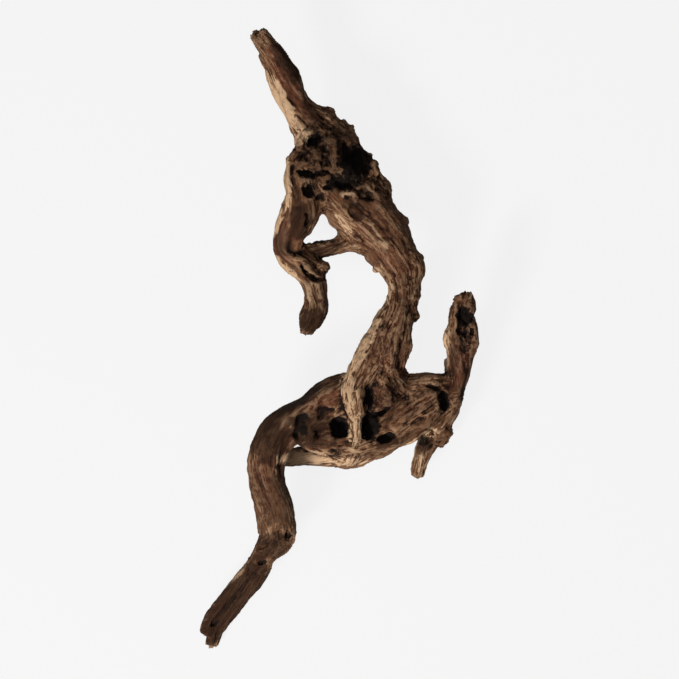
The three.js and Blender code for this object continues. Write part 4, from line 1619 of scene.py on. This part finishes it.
# Rows of x, y, half-length, half-width, turn and strength.
PATCH_ROWS: dict[Character, tuple[tuple[float, ...], ...]] = {
    Character.GNARLED: (
        (330, 158, 42, 30, -30, 1.0), (352, 186, 26, 22, -50, 0.8), (462, 308, 14, 16, 0, 0.5),
    ),
    Character.PARTED: (
        (225, 610, 52, 20, 55, 1.0),
    ),
    Character.ROUGH: (
        (330, 155, 50, 44, -35, 0.9), (345, 122, 38, 16, -42, 0.9), (378, 182, 34, 12, -58, 0.9),
        (400, 300, 26, 36, 8, 0.5), (385, 352, 32, 38, 8, 0.7), (325, 408, 18, 16, 0, 0.8),
        (462, 325, 18, 36, 5, 0.9), (436, 440, 20, 16, 0, 0.8), (418, 405, 42, 26, 15, 0.6),
        (350, 445, 24, 14, 0, 0.7), (352, 392, 14, 40, 4, 0.5), (390, 400, 20, 20, 0, 0.5),
        (318, 270, 16, 14, 0, 0.8), (284, 536, 14, 14, 0, 0.6), (414, 280, 12, 44, 0, 0.7),
        (262, 470, 20, 60, 0, 0.3),
    ),
    # Burned wood, and painted shade in the pits, slots and creases and along the top of the cross twig.
    Character.CHARRED_AND_PAINTED_SHADE: (
        (354, 164, 20, 22, -20, 1.0), (343, 185, 20, 8, 0, 0.8), (317, 176, 22, 4, 0, 0.4),
        (309, 192, 9, 12, 0, 0.65), (315, 144, 12, 8, 30, 0.8), (366, 196, 12, 8, 0, 0.5),
        (463, 317, 10, 12, 10, 1.0), (463, 340, 8, 18, 0, 0.6), (347, 199, 3, 3, 0, 1.0),
        (340, 428, 11, 12, 0, 1.0), (304, 428, 6, 10, 10, 0.9), (371, 424, 10, 20, 0, 0.9),
        (369, 396, 6, 12, 0, 0.55), (335, 454, 9, 7, 0, 0.55), (444, 404, 7, 14, -20, 0.8),
        (322, 242, 26, 4, 6, 0.65), (318, 280, 12, 3, 0, 0.6), (424, 441, 9, 9, 0, 0.7),
    ),
    # Darker wood, partly painted shade: upper edges of belly, slab and leg, shaded sides of horn and cross
    # twig.
    Character.DARK: (
        (357, 213, 10, 13, 0, 0.6), (303, 428, 16, 20, 10, 1.0), (387, 441, 18, 8, 15, 0.8),
        (328, 158, 46, 38, -30, 0.65), (350, 188, 38, 24, -50, 0.55), (284, 56, 26, 10, -58, 0.6),
        (288, 402, 54, 13, 32, 0.8), (314, 430, 36, 26, 0, 0.7), (386, 400, 22, 22, 0, 0.55),
        (404, 290, 14, 40, 0, 0.35), (314, 322, 18, 16, 0, 0.85), (300, 222, 14, 22, 0, 0.8),
        (284, 505, 12, 40, 6, 0.5), (228, 605, 66, 20, 55, 0.85), (470, 345, 8, 40, 0, 0.4),
        (424, 445, 13, 12, 0, 0.7), (284, 242, 14, 22, 0, 0.55), (266, 436, 28, 36, 20, 0.9),
        (264, 500, 24, 52, 0, 0.5), (274, 546, 24, 20, 0, 0.65), (236, 597, 60, 26, 55, 0.95),
        (287, 66, 34, 11, -62, 0.75), (316, 122, 16, 12, -50, 0.2), (393, 352, 16, 28, 5, 0.4),
        (466, 345, 12, 50, 0, 0.35), (318, 322, 20, 16, 0, 0.6), (414, 262, 10, 50, 10, 0.35),
        (326, 250, 26, 9, 5, 0.6), (420, 395, 34, 22, 10, 0.25), (458, 375, 16, 40, 0, 0.45),
        (276, 420, 32, 14, 42, 0.5), (454, 352, 9, 28, 0, 0.6), (270, 548, 22, 12, 10, 0.45),
    ),
    Character.RED: (
        (378, 400, 12, 14, 0, 1.0), (312, 408, 26, 12, 25, 0.8), (400, 275, 14, 34, 10, 0.5),
        (396, 310, 12, 20, 10, 0.6), (466, 345, 14, 50, 0, 0.6), (366, 352, 14, 30, -20, 0.35),
        (284, 75, 36, 12, -62, 0.9), (306, 112, 20, 10, -62, 0.6), (284, 240, 16, 24, 0, 1.0),
        (333, 158, 8, 22, 0, 0.8), (378, 245, 44, 18, -58, 0.55), (388, 345, 18, 40, 0, 0.6),
        (385, 398, 18, 16, 0, 0.8), (420, 405, 28, 12, 15, 0.5), (458, 370, 14, 34, 0, 0.7),
        (320, 430, 30, 22, 0, 0.5), (262, 470, 16, 50, 0, 0.5),
    ),
    # Bleached wood, partly painted light: lit left edges of shank, arms and shin, lower rims of keel and
    # rail.
    Character.PALE: (
        (282, 104, 36, 8, -62, 0.85), (348, 196, 8, 5, 0, 0.5), (357, 171, 10, 3, -50, 0.8),
        (378, 236, 30, 4, -58, 0.25), (302, 138, 13, 6, 40, 1.0), (288, 188, 5, 28, 0, 0.8),
        (277, 226, 4, 14, -20, 0.8), (288, 272, 22, 5, -48, 0.9), (312, 294, 10, 16, 0, 0.25),
        (345, 226, 16, 4, -50, 0.7), (349, 384, 9, 34, 4, 0.52), (355, 432, 9, 26, 0, 0.45),
        (364, 345, 7, 32, -28, 0.75), (384, 300, 6, 22, -20, 0.5), (420, 440, 40, 6, 32, 0.4),
        (305, 459, 30, 9, 0, 0.8), (345, 462, 26, 5, 0, 0.55), (304, 138, 10, 8, 60, 1.0),
        (372, 300, 10, 40, -10, 0.35), (421, 464, 8, 16, -15, 0.25), (240, 572, 16, 3, 52, 0.5),
        (232, 577, 24, 3.5, 52, 0.5), (446, 350, 4, 30, 0, 0.4),
    ),
    Character.SMOOTH: (
        (284, 240, 16, 20, 0, 0.9), (285, 110, 34, 8, -62, 0.4), (290, 420, 52, 26, 35, 0.8),
        (268, 485, 26, 60, 0, 0.25), (240, 590, 46, 22, 50, 0.45), (316, 296, 16, 22, 0, 0.5),
        (320, 250, 24, 10, 0, 0.4), (310, 458, 34, 9, 0, 0.4),
    ),
}

PATCHES: tuple[Patch, ...] = tuple(
    Patch(kind, row[:2], row[2:4], row[4], row[5]) for kind, rows in PATCH_ROWS.items() for row in rows
)


@dataclass(frozen=True)
class Lamp:
    """A square lamp that points at the wood.

    Attributes:
        name: its name.
        spot: its place, in metres.
        side: its side, in metres.
        power: its power, in watts.
        colour: the colour of its light.
    """

    name: str
    spot: tuple[float, float, float]
    side: float
    power: float
    colour: Colour = (1.0, 1.0, 1.0)

    def hang(self, target: tuple[float, float, float]) -> None:
        """Adds the lamp to the scene.

        Args:
            target: the place that it points at, in metres.
        """
        data = bpy.data.lights.new(self.name, "AREA")
        data.shape = "SQUARE"
        data.size = self.side
        data.energy = self.power
        data.color = self.colour
        lamp = bpy.data.objects.new(self.name, data)
        bpy.context.scene.collection.objects.link(lamp)
        lamp.location = self.spot
        away = np.array(self.spot) - target
        flat = math.hypot(away[0], away[1])
        lamp.rotation_euler = (math.atan2(flat, away[2]), 0.0, math.atan2(away[1], away[0]) + math.pi / 2)


@dataclass(frozen=True)
class Studio:
    """A plain pale floor, soft lamps and a camera that looks straight down.

    Attributes:
        floor_side: the floor's side, in metres.
        floor_colour: its colour.
        floor_glow: the strength of its own light, which keeps it pale wherever the lamps don't reach.
        camera_height: above the middle height of the wood.
        middle_height: of the wood, in metres.
        lamps: the lamps.
        lit: the place that they point at, in metres.
        room_light: the strength of the light from all round.
    """

    floor_side: float = 14.0
    floor_colour: Colour = (0.05, 0.05, 0.05)
    floor_glow: float = 0.85
    camera_height: float = 3.0
    middle_height: float = 0.055
    lamps: tuple[Lamp, ...] = (
        Lamp("key lamp", (-1.1, -1.6, 1.8), 0.55, 82.0, (1.0, 0.98, 0.95)),
        Lamp("top lamp", (-0.5, 0.3, 3.6), 1.6, 30.0),
    )
    lit: tuple[float, float, float] = (0.0, 0.0, 0.05)
    room_light: float = 0.12

    def floor(self) -> bpy.types.Object:
        """A square of pale paper under the wood, as a grid of two parameters."""
        side = np.linspace(-0.5, 0.5, 3) * self.floor_side
        x, y = np.meshgrid(side, side)
        points = np.stack((x.ravel(), y.ravel(), np.zeros(x.size)), axis=1)
        corners = np.array([(r * 3 + c) for r in range(2) for c in range(2)])
        faces = np.stack((corners, corners + 1, corners + 4, corners + 3), axis=1)
        mesh = bpy.data.meshes.new("paper_floor")
        mesh.from_pydata(points.tolist(), [], faces.tolist())
        floor = bpy.data.objects.new("paper_floor", mesh)
        bpy.context.scene.collection.objects.link(floor)
        sheet = NodeSheet("pale paper")
        paper = {
            "Base Color": (*self.floor_colour, 1.0),
            "Roughness": 0.95,
            "Specular IOR Level": 0.1,
            "Emission Color": (1.0, 1.0, 1.0, 1.0),
            "Emission Strength": self.floor_glow,
        }
        mesh.materials.append(sheet.surface(sheet.node("ShaderNodeBsdfPrincipled", {}, paper)))
        floor.visible_diffuse = False
        return floor

    def lights(self) -> None:
        """The lamps and the soft light from all round."""
        for lamp in self.lamps:
            lamp.hang(self.lit)
        world = bpy.data.worlds.new("soft room")
        world.use_nodes = True
        sky = world.node_tree.nodes["Background"].inputs
        sky["Color"].default_value = (1.0, 1.0, 1.0, 1.0)
        sky["Strength"].default_value = self.room_light
        bpy.context.scene.world = world

    def camera(self) -> None:
        """A camera straight above the photograph's middle, which sees its width at the wood's middle."""
        data = bpy.data.cameras.new("camera")
        data.sensor_width = 36.0
        data.lens = data.sensor_width * self.camera_height / PHOTO_WIDTH
        data.clip_end = 50.0
        camera = bpy.data.objects.new("camera", data)
        bpy.context.scene.collection.objects.link(camera)
        camera.location = place(*PHOTO_MIDDLE, (self.middle_height + self.camera_height) / MM)
        bpy.context.scene.camera = camera


def main() -> None:
    """Builds the wood and the studio."""
    logging.basicConfig(level=logging.INFO, format="%(name)s: %(message)s")
    wood = Wood(LIMBS, BURLS, HOLLOWS, PATCHES, SPLINTERS, BUMPS, PITS, GOUGES, SHARDS)
    piece = wood.piece()
    LOG.info("%s: %d triangles", piece.name, len(piece.data.polygons))
    studio = Studio()
    LOG.info("%s", studio.floor().name)
    studio.lights()
    studio.camera()
    bpy.context.scene.view_settings.view_transform = "Standard"
    bpy.context.scene.view_settings.look = "None"


if __name__ == "__main__":
    main()
